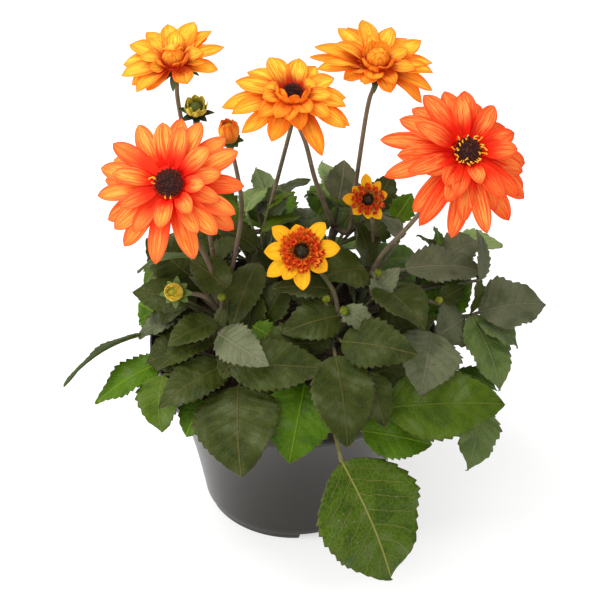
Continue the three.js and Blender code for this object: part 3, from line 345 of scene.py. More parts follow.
# Each bloom: its place, how it faces, its stalk, and its petals as turn, length and sometimes lift.
# The florets are the turns of those that stand out. The bowed petals stand over the disc.
BLOOMS = {
    "bloom_left": {
        "at": (-85, 76, -35), "tilt": 50, "lean": -8, "disc_radius": 8.5, "outer_lift": -4,
        "inner_lift": 16, "stem": "leafy_stem_left", "stalk": ((-58, 20, -28), (-72, 48, -20)),
        "look": "coral", "slot": "coral_petals",
        "outer": (
            (83, 41, -10), (62, 42), (41, 44), (24, 46), (-2, 45), (-27, 45), (-36, 47, -10), (-47, 43),
            (-73, 48), (-101, 50), (-127, 47, -12), (-142, 44, -8), (-152, 44), (-170, 45), (176, 41, -10),
            (166, 44), (155, 40, -10), (144, 43), (120, 42), (96, 38),
        ),
        "inner": (
            (75, 35), (39, 33), (10, 33), (-5, 24, 34), (-20, 33), (-51, 24, 34), (-59, 37), (-96, 30, 30),
            (-125, 37), (-153, 33), (171, 35),
        ),
        "florets": (160, 172, 187, 255, 280),
        "bowed": (),
    },
    "bloom_right": {
        "at": (109, 97, -10), "tilt": 46, "lean": 12, "disc_radius": 8, "outer_lift": -8, "inner_lift": 18,
        "stem": "leafy_stem_right", "stalk": ((53, 29, -8), (75, 53, -5)), "look": "scarlet",
        "slot": "coral_petals",
        "outer": (
            (106, 41), (91, 39), (76, 33, -12), (60, 35), (36, 31), (22, 32, 4), (-7, 39), (-18, 38, -12),
            (-29, 43), (-37, 46, -12), (-57, 49), (-76, 52), (-97, 53), (-122, 55), (-132, 48, -12),
            (-161, 54), (172, 53), (153, 46), (137, 43, -12), (127, 44),
        ),
        "inner": (
            (99, 35, 8), (0, 30), (-41, 42, 4), (-57, 37), (-64, 40, 0), (-75, 23, 38), (-92, 44, -2),
            (-105, 31), (-125, 28, 30), (-114, 37, 8), (-151, 32), (-157, 42, 4), (184, 44, 2), (158, 37),
        ),
        "florets": (8, 48, 100, 138, 172, 205, 238, 272, 305, 340),
        "bowed": (),
    },
    "bloom_centre": {
        "at": (-5, 134, 10), "tilt": 20, "lean": 2, "disc_radius": 6, "outer_lift": 0, "inner_lift": 24,
        "stem": "leafy_stem_back_right", "stalk": ((20, 52, 24), (10, 78, 18), (3, 104, 14)),
        "look": "amber", "slot": "amber_petals",
        "outer": (
            (142, 35, 4), (117, 31, 6), (93, 28, 4), (81, 27, 6), (59, 28, 4), (27, 29, 4), (-1, 33, 4),
            (-12, 34, 0), (-28, 40, -4), (-35, 40, -8), (-65, 42, -12), (-109, 37, -10), (-141, 39, -8),
            (-158, 40, -2), (-169, 44, 2), (172, 36, 6), (162, 36, 4),
        ),
        "inner": (
            (173, 18), (-153, 21), (-137, 26, 20), (-110, 30, 22), (-94, 28, 30), (-65, 25, 26),
            (-23, 17, 22), (-11, 25, 12), (-41, 30, 12), (-131, 32, 8), (-81, 29, 10), (24, 16, 20),
            (-135, 11, 72), (-80, 9, 68), (-30, 9, 72),
        ),
        "florets": (),
        "bowed": (
            (200, 12, 76), (226, 12, 84), (250, 12, 66), (276, 10, 84), (300, 12, 62), (328, 10, 78),
            (352, 10, 66),
        ),
    },
    "bloom_top_left": {
        "at": (-82, 155, 45), "tilt": 10, "lean": -5, "disc_radius": 5, "outer_lift": 0, "inner_lift": 24,
        "stem": "leafy_stem_back_left", "stalk": ((-62, 44, 34), (-72, 92, 40), (-80, 134, 44)),
        "look": "amber", "slot": "amber_petals",
        "outer": (
            (169, 34, 2), (149, 34, 5), (137, 33, 8), (124, 32, 10), (109, 30, 10), (98, 31, 12),
            (83, 32, 12), (68, 33, 14), (52, 33, 10), (47, 34, 5), (25, 30, 6), (17, 33, 2), (-6, 27, -8),
            (-62, 18, -18), (-135, 24, -12), (-144, 30, -16), (-163, 29, -10), (-169, 34, -6),
        ),
        "inner": (
            (130, 24), (86, 20, 30), (55, 20), (177, 21, 14), (-161, 16, 10), (11, 19, 14), (-5, 20, 4),
            (108, 20, 126), (80, 19, 130),
        ),
        "florets": (),
        "bowed": (
            (34, 14, 124), (58, 17, 132), (80, 18, 140), (102, 18, 140), (124, 17, 132), (148, 14, 122),
            (174, 13, 118), (8, 13, 116), (200, 14, 116), (226, 14, 114), (252, 13, 112), (280, 14, 115),
            (306, 14, 113), (334, 13, 116), (214, 12, 60), (296, 12, 54), (330, 13, 66),
        ),
    },
    "bloom_top_right": {
        "at": (50, 153, 50), "tilt": 6, "lean": 4, "disc_radius": 5, "outer_lift": 0, "inner_lift": 24,
        "stem": "leafy_stem_back_right", "stalk": ((31, 44, 24), (36, 74, 32), (45, 130, 46)),
        "look": "amber", "slot": "amber_petals",
        "outer": (
            (174, 43, 4), (169, 41, 8), (150, 38, 10), (133, 37, 12), (119, 37, 14), (106, 37, 14),
            (91, 33, 12), (75, 35, 12), (54, 35, 10), (35, 35, 8), (15, 37, 4), (-1, 36, -4),
            (-15, 37, -10), (-25, 33, -32), (-61, 19, -16), (-116, 17, -14), (-159, 22, -10),
            (-174, 38, -4),
        ),
        "inner": (
            (-169, 34, 14), (170, 28), (134, 23, 28), (103, 20, 30), (63, 21, 26), (27, 22, 18),
            (4, 22, 14), (-13, 25, 4), (-160, 18, 10), (-101, 17, 0), (-54, 19, 0), (155, 27, 18),
            (120, 15, 84), (72, 15, 80), (-120, 9, 66),
        ),
        "florets": (),
        "bowed": (
            (38, 15, 122), (62, 17, 132), (84, 18, 140), (106, 18, 140), (128, 17, 130), (152, 14, 120),
            (178, 13, 117), (12, 13, 115), (204, 14, 116), (230, 14, 113), (258, 13, 112), (284, 14, 114),
            (312, 14, 113), (338, 13, 116), (220, 12, 62), (246, 12, 50), (292, 12, 48), (324, 12, 62),
        ),
    },
}

SMALL_BLOOMS = {
    "small_bloom_front": {
        "at": (1, 32, -35), "tilt": 52, "lean": 0, "disc_radius": 4.6, "ring_radius": 10.5,
        "floret_count": 11, "ray_width": 13, "ray_lift": 6, "stem": "leafy_stem_front",
        "stalk": ((21, 7, -40),), "stalk_top": GREEN_STALK,
        "rays": (
            (141, 22), (103, 17), (77, 14), (50, 22), (3, 24), (-39, 20), (-89, 23), (-122, 21), (-145, 26),
            (182, 22),
        ),
    },
    "small_bloom_back": {
        "at": (44, 65, 8), "tilt": 46, "lean": 6, "disc_radius": 3.6, "ring_radius": 7.6, "floret_count": 8,
        "ray_width": 10, "ray_lift": 20, "stem": "leafy_stem_right", "stalk": ((46, 24, 5), (47, 52, 7)),
        "stalk_top": BROWN_STALK,
        "rays": ((96, 17), (56, 14), (180, 16), (140, 12), (-56, 15), (-90, 12), (20, 13), (225, 13)),
    },
}

BUDS = {
    "bud_half_open": {
        "at": (-68, 122, 20), "tilt": 20, "lean": 4, "radius": 5.2, "height": 10, "open": 1.3, "petals": 7,
        "bract_length": 8, "bract_rise": 4, "stem": "leafy_stem_left",
        "stalk": ((-57, 32, -10), (-66, 86, 14)), "look": "green", "slot": "bud_green_petals",
        "cup": (0.035, 0.05, 0.022),
    },
    "bud_orange": {
        "at": (-45.5, 105, 10), "tilt": 10, "lean": -6, "radius": 6, "height": 14, "open": 0.75,
        "petals": 7, "bract_length": 4, "bract_rise": 0.5, "stem": "leafy_stem_left",
        "stalk": ((-41, 36, -12), (-38, 62, -2), (-43, 92, 8)), "look": "orange", "slot": "coral_petals",
        "cup": (0.085, 0.13, 0.035),
    },
    "bud_yellow": {
        "at": (-81, 5, -48), "tilt": 50, "lean": -20, "radius": 6.4, "height": 10, "open": 0.6, "petals": 6,
        "bract_length": 6, "bract_rise": 1, "stem": "leafy_stem_left", "stalk": ((-64, 3, -42),),
        "look": "lime", "slot": "yellow_petals", "cup": (0.13, 0.19, 0.05),
    },
}

# Closed buds: stem, place in the picture, radius
CLOSED_BUDS = (
    ("leafy_stem_left", (-51, 2, -50), 3.2),
    ("leafy_stem_front", (17, 0.7, -45), 3.2),
    ("leafy_stem_front", (29, -7, -57), 3.6),
    ("leafy_stem_right", (51, 17.6, -38), 3),
    ("leafy_stem_right", (90.5, 0, -25), 3),
    ("leafy_stem_back_left", (-3, 130, 31), 5),
)


def back_leaves():
    """The leaves of the unseen back, drawn in the same order as in the solids."""
    draw = seeded(43)
    rows = {"leafy_stem_back_left": [], "leafy_stem_back_right": []}
    for level, tier in enumerate(BACK_TIERS):
        for i in range(tier["count"]):
            share = (i + 0.5 + draw(-0.18, 0.18)) / tier["count"]
            turn = BACK_FROM + (BACK_TO - BACK_FROM) * share
            sway, stretch = draw(-9, 9), draw(0.92, 1.08)
            raised = (TIER_STEP if i % 2 else -TIER_STEP) + draw(-2, 2)
            a, b = math.radians(turn), math.radians(turn + sway)
            near, far = tier["root_radius"] * stretch, tier["tip_radius"] * stretch
            root = vec(near * math.cos(a), near * math.sin(a), tier["root_height"] + raised)
            tip = vec(far * math.cos(b), far * math.sin(b), tier["tip_height"] + raised + draw(-5, 5))
            width = tier["width"] * draw(0.88, 1.12)
            side = "leafy_stem_back_left" if turn > 90 else "leafy_stem_back_right"
            rows[side].append((root, tip, width, {"roll": draw(-12, 12), "arch": 0.1 + 0.02 * level}))
    return rows


BACK_LEAVES = back_leaves()


# Meshes
def spread(values, size):
    """One row for each point, from a single row or from a grid of them."""
    values = np.asarray(values, dtype=float)
    return np.tile(values, (size, 1)) if values.ndim == 1 else values.reshape(size, -1)


class Body:
    """Collects the faces of one piece, with their colours and blade coordinates."""

    def __init__(self):
        self.points = []
        self.faces = []
        self.slots = []
        self.layers = {"coord": [], "tint": [], "vein": [], "under": []}
        self.count = 0

    def add(self, points, faces, coords=NO_BLADE, tint=PLAIN_TINT, vein=None, slot=0, under=0.0):
        points = np.concatenate(points).reshape(-1, 3)
        size = len(points)
        self.points.append(points)
        self.faces += [[corner + self.count for corner in face] for face in faces]
        self.slots += [slot] * len(faces)
        self.layers["coord"].append(spread(coords, size))
        self.layers["tint"].append(spread(tint, size))
        self.layers["vein"].append(spread(tint if vein is None else vein, size))
        self.layers["under"].append(np.zeros(size) + under)
        self.count += size

    def build(self, node, slot, *materials):
        """Makes the piece that replaces one node of the solids."""
        name = "fine_" + node
        mesh = bpy.data.meshes.new(name)
        points = np.clip(np.concatenate(self.points) * MM, CAD_LOW, CAD_HIGH)
        mesh.from_pydata(points.tolist(), [], self.faces)
        for key, kind, field in (("coord", "FLOAT_VECTOR", "vector"), ("tint", "FLOAT_COLOR", "color"),
                                 ("vein", "FLOAT_COLOR", "color"), ("under", "FLOAT", "value")):
            values = np.concatenate(self.layers[key])
            if field == "color":
                values = np.hstack([values, np.ones((len(values), 1))])
            mesh.attributes.new(key, kind, "POINT").data.foreach_set(field, values.ravel())
        for material in materials:
            mesh.materials.append(material)
        mesh.polygons.foreach_set("material_index", self.slots)
        mesh.polygons.foreach_set("use_smooth", [True] * len(mesh.polygons))
        mesh.update()
        piece = bpy.data.objects.new(name, mesh)
        bpy.context.scene.collection.objects.link(piece)
        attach(piece, "root")
        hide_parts(node)
        return piece


def grid_faces(rows, columns, wrap=False):
    faces = []
    for i in range(rows - 1):
        for j in range(columns if wrap else columns - 1):
            k = (j + 1) % columns
            faces.append((i * columns + j, i * columns + k, (i + 1) * columns + k, (i + 1) * columns + j))
    return faces


def blade_grid(along, columns):
    """Shares along a blade and across it, from -1 to 1, for each point of a grid."""
    return np.meshgrid(along, np.linspace(-1, 1, columns), indexing="ij")


def shell(body, points, thickness, **looks):
    """A thin closed skin round a grid of points. Its lower face is marked as the underside."""
    rows, columns = points.shape[:2]
    normal = np.cross(np.gradient(points, axis=1), np.gradient(points, axis=0))
    size = np.linalg.norm(normal, axis=-1, keepdims=True)
    plain = normal[rows // 2, columns // 2] / size[rows // 2, columns // 2]
    normal = np.where(size > 1e-4, normal / np.maximum(size, 1e-9), plain)
    total = rows * columns
    upper = [face[::-1] for face in grid_faces(rows, columns)]
    lower = [tuple(corner + total for corner in face[::-1]) for face in upper]
    order = np.arange(total).reshape(rows, columns)
    loop = np.concatenate([order[0], order[1:, -1], order[-1, -2::-1], order[-2:0:-1, 0]]).tolist()
    rim = [(a, b, b + total, a + total) for a, b in zip(loop, loop[1:] + loop[:1])]
    if "coords" in looks:
        looks["coords"] = np.tile(looks["coords"].reshape(-1, 3), (2, 1))
    skins = [points + normal * thickness / 2, points - normal * thickness / 2]
    body.add(skins, upper + lower + rim, under=np.repeat([0.0, 1.0], total), **looks)


def smooth_path(points, per_span):
    """A centripetal curve through the points, with a number of steps to each span."""
    points = [np.asarray(p, dtype=float) for p in points]
    path = []
    last = len(points) - 2
    for i in range(last + 1):
        p1, p2 = points[i], points[i + 1]
        p0 = points[i - 1] if i > 0 else 2 * p1 - p2
        p3 = points[i + 2] if i < last else 2 * p2 - p1
        d0, d1, d2 = (max(math.sqrt(np.linalg.norm(b - a)), 1e-3) for a, b in ((p0, p1), (p1, p2), (p2, p3)))
        t1 = ((p1 - p0) / d0 - (p2 - p0) / (d0 + d1) + (p2 - p1) / d1) * d1
        t2 = ((p2 - p1) / d1 - (p3 - p1) / (d1 + d2) + (p3 - p2) / d2) * d1
        square, cube = -3 * p1 + 3 * p2 - 2 * t1 - t2, 2 * p1 - 2 * p2 + t1 + t2
        for w in np.linspace(0, 1, per_span, endpoint=False):
            path.append(p1 + t1 * w + square * w ** 2 + cube * w ** 3)
    path.append(points[-1])
    return path


def blend(low, high, count):
    """Colours that change evenly from one to the other."""
    share = np.linspace(0, 1, count)[:, None]
    return np.array(low) * (1 - share) + np.array(high) * share


def circle(sides):
    """Cosines and sines of a full turn in equal steps."""
    turns = np.linspace(0, 2 * math.pi, sides, endpoint=False)
    return np.cos(turns), np.sin(turns)


def ring(right, forward, sides):
    across, ahead = circle(sides)
    return np.outer(across, right) + np.outer(ahead, forward)


def lathe(profile, sides):
    """Points of a form turned about the pot's axis. The profile lists radius and height."""
    radii, heights = np.array(profile, dtype=float).T
    across, behind = circle(sides)
    upright = np.repeat(heights[:, None], sides, axis=1)
    return np.stack([np.outer(radii, across), np.outer(radii, behind), upright], axis=-1)


def tube(body, path, radius, sides, tint=PLAIN_TINT, slot=0):
    """A round bar along a path. Its radius is one number, or one for each point."""
    radii = np.full(len(path), radius) if np.isscalar(radius) else np.asarray(radius)
    heading = unit(path[1] - path[0])
    side = unit(np.cross(heading, vec(0.3, 0.1, 1) if abs(heading[2]) < 0.9 else vec(1, 0, 0)))
    rings = []
    for i, point in enumerate(path):
        heading = unit(path[min(i + 1, len(path) - 1)] - path[max(i - 1, 0)])
        side = unit(side - heading * np.dot(side, heading))
        rings.append(point + radii[i] * ring(side, np.cross(heading, side), sides))
    faces = grid_faces(len(path), sides, wrap=True)
    faces.append(tuple(range(sides))[::-1])
    faces.append(tuple(range((len(path) - 1) * sides, len(path) * sides)))
    if np.ndim(tint) == 2:
        tint = np.repeat(np.asarray(tint), sides, axis=0)
    body.add(rings, faces, tint=tint, slot=slot)


def turned(body, profile, origin, axis, sides, **looks):
    """A form turned about any axis. The profile lists radius and height along the axis."""
    axis = unit(axis)
    right = unit(np.cross(axis, vec(0.1, 1, 0.2)))
    around = ring(right, np.cross(axis, right), sides)
    rows = [np.asarray(origin) + axis * height + around * max(radius, 0.01) for radius, height in profile]
    body.add(rows, grid_faces(len(profile), sides, wrap=True), **looks)


class Sheet:
    """The curved sheet that a leaf or petal follows, as in the solids."""

    def __init__(self, root, tip, facing, arch, fold, roll=0, wave=0):
        self.root = root
        self.length = np.linalg.norm(tip - root)
        self.along = unit(tip - root)
        side = unit(np.cross(self.along, facing))
        turn = math.radians(roll)
        self.side = side * math.cos(turn) + np.cross(self.along, side) * math.sin(turn)
        self.normal = unit(np.cross(self.side, self.along))
        self.arch, self.fold, self.wave = arch, fold, wave

    def at(self, t, out, rise=0.0):
        t, out = np.asarray(t, dtype=float), np.asarray(out, dtype=float)
        edge = np.abs(out)
        lift = self.arch * self.length * 4 * t * (1 - t) + self.fold * edge + rise
        ripple = self.wave * edge * np.sin(t * 15 + np.where(out > 0, 0.0, 2.0))
        return (self.root + self.along * (self.length * t)[..., None] + self.side * out[..., None]
                + self.normal * (lift + ripple)[..., None])


# Leaves
def leaf_facing(root, tip):
    """The direction a leaf faces: up, and outward the farther it is from the pot's axis."""
    middle = (root + tip) / 2
    outward = vec(middle[0], middle[1], 0)
    lean = min(1.0, np.linalg.norm(outward) / RIM_RADIUS) * LEAF_LEAN
    return UP * math.cos(lean) + unit(outward) * math.sin(lean)


def leaf_stalk(stem, root, rank, start):
    """The way of a leaf's stalk from its stem, over the pot's rim where it is low."""
    foot, crown = stem["foot"], stem["crown"]
    if start is not None:
        return [place(start), root]
    drop = math.hypot(root[0] - crown[0], root[1] - crown[1]) * STALK_SLOPE
    highest = crown[2] - BELOW_CROWN - (rank % STALK_RANKS) * STALK_SPACING
    height = max(min(root[2] - drop, highest), SOIL_TOP + LOWEST_STALK)
    share = (height - SOIL_TOP) / (crown[2] - SOIL_TOP)
    begin = foot + (crown - foot) * share
    reach = math.hypot(root[0], root[1])
    if reach > OVER_RIM_FROM and root[2] < OVER_RIM_BELOW:
        over = vec(root[0], root[1], 0) * (OVER_RIM_AT / reach)
        over[2] = POT_HEIGHT + RIM_CLEARANCE
        return [begin, over, root]
    span = np.linalg.norm(root - begin)
    bow = (begin + root) / 2
    bow[2] += span * (LONG_BOW if span > SHORT_STALK else SHORT_BOW)
    return [begin, bow, root]


def leaf(body, stem, rank, row, look, draw):
    """A toothed, puckered blade with its rib and stalk."""
    root, tip, width = row[:3]
    options = row[3] if len(row) > 3 else {}
    tint, vein = (np.array(c) for c in LEAF_TONES[look])
    tint = tint * draw.uniform(0.85, 1.18)
    arch, roll = options.get("arch", LEAF_ARCH), options.get("roll", 0)
    sheet = Sheet(root, tip, leaf_facing(root, tip), arch, LEAF_FOLD, roll, LEAF_WAVE)
    length = sheet.length
    teeth = int(min(max(round(length / TOOTH_PITCH), FEWEST_TEETH), MOST_TEETH))
    t = np.array([0.0] + [(i + s) / teeth for i in range(teeth) for s in (0.3, 0.62, TOOTH_PEAK, 1.0)])
    phase = (t * teeth) % 1.0
    tooth = np.where(phase <= TOOTH_PEAK, phase / TOOTH_PEAK, (1 - phase) / (1 - TOOTH_PEAK))
    tooth[-1] = 1
    depth = TOOTH_DEPTH / max(width / 2, 8) * draw.uniform(0.8, 1.2)
    tt, vv = blade_grid(t, LEAF_COLUMNS)
    edge = np.abs(vv)
    full = np.sin(math.pi * np.clip(t, 0, 1) ** LEAF_SHOULDER) ** LEAF_FULLNESS * width / 2
    notch = 1 - depth * (1 - tooth)
    out = vv * full[:, None] * (1 - (1 - notch)[:, None] * edge ** 5)
    swept = (tt - VEIN_SWEEP * edge) / VEIN_SPACING
    between = 0.5 - 0.5 * np.cos(2 * math.pi * swept)
    pucker = LEAF_PUCKER * width * between
    pucker = pucker * np.sin(math.pi * np.clip(edge, 0, 1)) * np.sin(math.pi * tt ** 0.8)
    turns = 2 * math.pi * LEAF_RIM_WAVES * tt + draw.uniform(0, 6.28) + np.where(vv > 0, 0, 2.2)
    rim = LEAF_RIM_WAVE * width * edge ** 3 * np.sin(turns) * tt
    points = sheet.at(tt, out, pucker + rim)
    shell(body, points, LEAF_THICKNESS, coords=np.stack([tt, vv, np.abs(out)], axis=-1), tint=tint, vein=vein)
    stalk = smooth_path(leaf_stalk(stem, root, rank, options.get("from")), 6)
    rib = [sheet.at(s, 0.0, -0.3 - 0.5 * (1 - s)) for s in np.linspace(0.03, 0.86, 9)]
    path = stalk[:-1] + [sheet.at(0.0, 0.0, -0.4)] + rib
    slim = min(1.0, 0.62 + length / 150)
    bare = np.full(len(stalk), LEAF_STALK_RADIUS * slim)
    radii = np.concatenate([bare, np.linspace(RIB_FROM, RIB_TO, len(rib)) * slim])
    stalk_tint = LEAF_STALK_GREEN if look in "mbp" else LEAF_STALK_BROWN
    tube(body, path, radii, 7, blend(stalk_tint, vein * 0.9, len(path)))


# Parts of a flower
class Face:
    """A bloom's own directions: along its axis and two across its face."""

    def __init__(self, flower):
        down, across = math.radians(flower["tilt"]), math.radians(flower["lean"])
        self.origin = place(flower["at"])
        self.axis = unit(vec(math.sin(across) * math.cos(down), -math.sin(down),
                             math.cos(across) * math.cos(down)))
        self.right = unit(vec(1, 0, 0) - self.axis * self.axis[0])
        self.up = np.cross(self.axis, self.right)

    def point(self, turn, radius, height):
        a = math.radians(turn)
        return (self.origin + self.right * (radius * math.cos(a)) + self.up * (radius * math.sin(a))
                + self.axis * height)

    def turned(self, body, profile, sides, **looks):
        turned(body, profile, self.origin, self.axis, sides, **looks)


def petal_sheet(face, root_radius, root_height, turn, reach, lift):
    """A petal's sheet. A steep petal is measured along itself, a flat one from the bloom's axis."""
    slope = math.radians(lift)
    steep = lift >= STEEP
    out = root_radius + reach * math.cos(slope) if steep else reach
    rise = reach * math.sin(slope) if steep else (reach - root_radius) * math.tan(slope)
    root = face.point(turn, root_radius, root_height)
    tip = face.point(turn, out, root_height + rise)
    facing = unit(face.point(turn, 0, root_height) - root) if steep else face.axis
    arch = -STEEP_ARCH - BOW_PER_DEGREE * max(0, lift - UPRIGHT) if steep else FLAT_PETAL_ARCH
    return Sheet(root, tip, facing, arch=arch, fold=PETAL_FOLD)


def petal(body, sheet, width, draw, point, rows=19, columns=13, cup=0.1, curl=None, ridge=0.35, tone_and_shade=None):
    """A ridged petal, with its own twist, curl, sway and notch. Its tone-and-shade value, random unless
    given, sets how far its base colour spreads; amber blooms give painted shade through it.
    """
    sheet.fold *= draw.uniform(0.7, 1.5)
    twist = math.radians(draw.uniform(-9, 9))
    sheet.side = sheet.side * math.cos(twist) + sheet.normal * math.sin(twist)
    sheet.normal = unit(np.cross(sheet.side, sheet.along))
    tt, vv = blade_grid(np.linspace(0, 1, rows), columns)
    swell = PETAL_FOOT + (1 - PETAL_FOOT) * np.sin(0.5 * math.pi * np.clip(tt / PETAL_FULL_FROM, 0, 1))
    end = np.clip((tt - PETAL_NARROW_FROM) / (1 - PETAL_NARROW_FROM), 0, 1)
    out = vv * (swell * (1 - end ** 2.5) ** point) * width / 2
    curl = draw.uniform(-0.05, 0.09) if curl is None else curl
    rise = -ridge * np.cos(3 * math.pi * vv) * np.sin(math.pi * tt) * (1 - np.abs(vv))
    rise = rise + cup * width * (vv ** 2) * (1 - tt) ** 1.5
    rise = rise + curl * sheet.length * np.clip(tt - PETAL_CURL_FROM, 0, 1) ** 2 * 6
    rise = rise + 0.03 * width * np.abs(vv) ** 2 * np.sin(9 * tt + draw.uniform(0, 6))
    sway = draw.uniform(-0.03, 0.03) * sheet.length
    middle = np.cos(math.pi * np.clip(vv * 1.6, -1, 1))
    beyond = np.clip((tt - PETAL_NOTCH_FROM) / (1 - PETAL_NOTCH_FROM), 0, 1)
    notch = draw.choice((0.0, 0.0, 0.05, 0.08)) * beyond ** 2 * middle
    points = sheet.at(tt - np.maximum(notch, 0), out + sway * tt ** 2, rise)
    tone_and_shade = draw.random() if tone_and_shade is None else tone_and_shade
    shell(body, points, PETAL_THICKNESS, coords=np.stack([tt, vv, np.full_like(tt, tone_and_shade)], axis=-1))


def scale(body, sheet, width, thickness, tint):
    """A small plain pointed blade: a bract or bud scale."""
    tt, vv = blade_grid(np.linspace(0, 1, 9), 7)
    out = vv * np.sin(math.pi * (0.16 + 0.84 * tt) ** 0.85) ** 0.8 * width / 2
    shell(body, sheet.at(tt, out), thickness, tint=tint)


def disc_dome(body, face, radius, height, count, spike):
    """Packed florets on a dome, laid out on a spiral."""
    face.turned(body, [(0, GAP), (radius, GAP), (radius * 0.98, height * 0.4), (radius * 0.75, height * 0.72),
                       (radius * 0.4, height * 0.85), (0, height * 0.85)], 28)
    for i in range(count):
        share = math.sqrt((i + 0.5) / count)
        turn = i * GOLDEN_TURN
        base = face.point(turn, radius * share * 0.99, height * (0.84 - 0.42 * share ** 2.6) - 0.4)
        axis = face.axis + (face.point(turn, 1, 0) - face.origin) * (0.75 * share - 0.1)
        size = radius * (0.062 + 0.03 * share)
        length = spike * (0.7 + 0.6 * share)
        turned(body, [(size, 0), (size * 1.05, length * 0.55), (size * 0.25, length)], base, axis, 6,
               coords=(share + 0.12 * math.sin(i * 2.4), 1.0, 0.0))


def pollen_floret(body, face, turn, radius, reach, draw):
    """A floret that stands out beyond the disc, with a bright tip."""
    low = face.point(turn, radius * 0.84, 2.0)
    middle = face.point(turn + draw.uniform(-6, 6), radius + reach * 0.45, 4.6)
    top = face.point(turn + draw.uniform(-8, 8), radius + reach, 5.0 + draw.uniform(-1.0, 0.8))
    path = smooth_path([low, middle, top], 3)
    tube(body, path, np.linspace(0.22, 0.34, len(path)), 6, slot=1)
    for _ in range(4):
        lobe = top + 0.42 * vec(draw.uniform(-1, 1), draw.uniform(-1, 1), draw.uniform(-1, 1))
        turned(body, [(0.05, -0.36), (0.36, 0), (0.05, 0.40)], lobe, face.axis, 5, slot=1)


def tube_floret(body, root, tip, radius, shade):
    """An open tube with a flared, five-pointed mouth. Its rows are shares of its length and radius."""
    sides = 10
    length = np.linalg.norm(tip - root) + 0.8
    axis = unit(tip - root)
    right = unit(np.cross(axis, vec(0.2, 1, 0.1)))
    around = ring(right, np.cross(axis, right), sides)
    rows = []
    for share, wide, jag in ((0, 0.35, 0), (0.45, 0.6, 0), (0.8, 0.95, 0), (1.0, 1.3, 0.09), (0.84, 0.62, 0),
                             (0.45, 0.3, 0)):
        drop = np.where(np.arange(sides) % 2 == 0, jag, -jag)[:, None]
        rows.append(root + axis * (length * share) + around * radius * wide + axis * drop * length)
    for part, heights, slot in ((rows[:4], (0, 0.4, 0.75, 1.0), 0), (rows[3:], (1.0, 0.5, 0.0), 1)):
        coords = [(height, shade, 0.0) for height in np.repeat(heights, sides)]
        body.add(part, grid_faces(len(part), sides, wrap=True), coords, slot=slot)


def calyx(body, face, radius, top, bract_length=9.0, bract_rise=-5.0, tint=CUP_GREEN):
    """The green cup under a bloom with two rows of bracts."""
    face.turned(body, [(PEDUNCLE_RADIUS, top - CALYX_HEIGHT), (radius * 0.55, top - CALYX_HEIGHT * 0.72),
                       (radius * 0.9, top - 2.6), (radius * 0.95, top - 0.8), (radius * 0.8, top), (0, top)],
                20, tint=tint)
    draw = random.Random(int(abs(face.origin[0]) * 10) + BRACT_COUNT)
    for i in range(BRACT_COUNT):
        turn = i * 360 / BRACT_COUNT + draw.uniform(-8, 8)
        outer = i % 2 == 0
        length = bract_length * (1.0 if outer else 0.75) * draw.uniform(0.85, 1.1)
        rise = bract_rise if outer else bract_rise * 0.3
        tip = face.point(turn, radius + length, top - 2.0 + rise)
        sheet = Sheet(face.point(turn, radius * 0.7, top - 2.2), tip, face.axis, arch=0.12, fold=0.2)
        scale(body, sheet, BRACT_WIDTH, 0.5, np.array(tint) * draw.uniform(0.8, 1.2))


def flower_foot(body, name, flower, radius, end, *cup):
    """The green cup and the stalk of a flower, if this stem bears it."""
    if flower["stem"] != name:
        return
    face = Face(flower)
    calyx(body, face, *cup)
    points = [STEMS[name]["crown"]] + [place(spot) for spot in flower["stalk"]]
    path = smooth_path(points + [face.point(0, 0, end - 9), face.point(0, 0, end)], 8)
    tints = blend(STALK_FOOT, flower.get("stalk_top", BROWN_STALK), len(path))
    tube(body, path, np.linspace(radius * 1.15, radius * 0.85, len(path)), 12, tints)


def closed_bud(body, stem, middle, radius, draw):
    """A tight green bud: overlapping scales over a round core, on its own short stalk."""
    lift = middle - UP * radius
    bow = (stem["crown"] + lift) / 2 - UP * 2
    radius *= 0.82
    tube(body, smooth_path([stem["crown"], bow, lift, middle], 5), PETIOLE_RADIUS * 1.05, 8, BUD_STALK)
    core = ((0, -1), (0.7, -0.7), (0.93, -0.1), (0.8, 0.5), (0.4, 0.9), (0, 1))
    turned(body, [(radius * a, radius * b) for a, b in core], middle, UP, 16, tint=BUD_GREEN)
    for i in range(8):
        turn = math.radians(i * 45 + draw.uniform(-6, 6))
        out = vec(math.cos(turn), math.sin(turn), 0)
        root = middle + out * radius * 0.55 - UP * radius * 0.75
        tip = middle + out * radius * (0.18 if i % 2 else 0.5) + UP * radius * (1.12 if i % 2 else 0.7)
        sheet = Sheet(root, tip, out, arch=0.34, fold=-0.35)
        scale(body, sheet, radius * 0.95, 0.35, np.array(BUD_GREEN) * draw.uniform(0.75, 1.25))


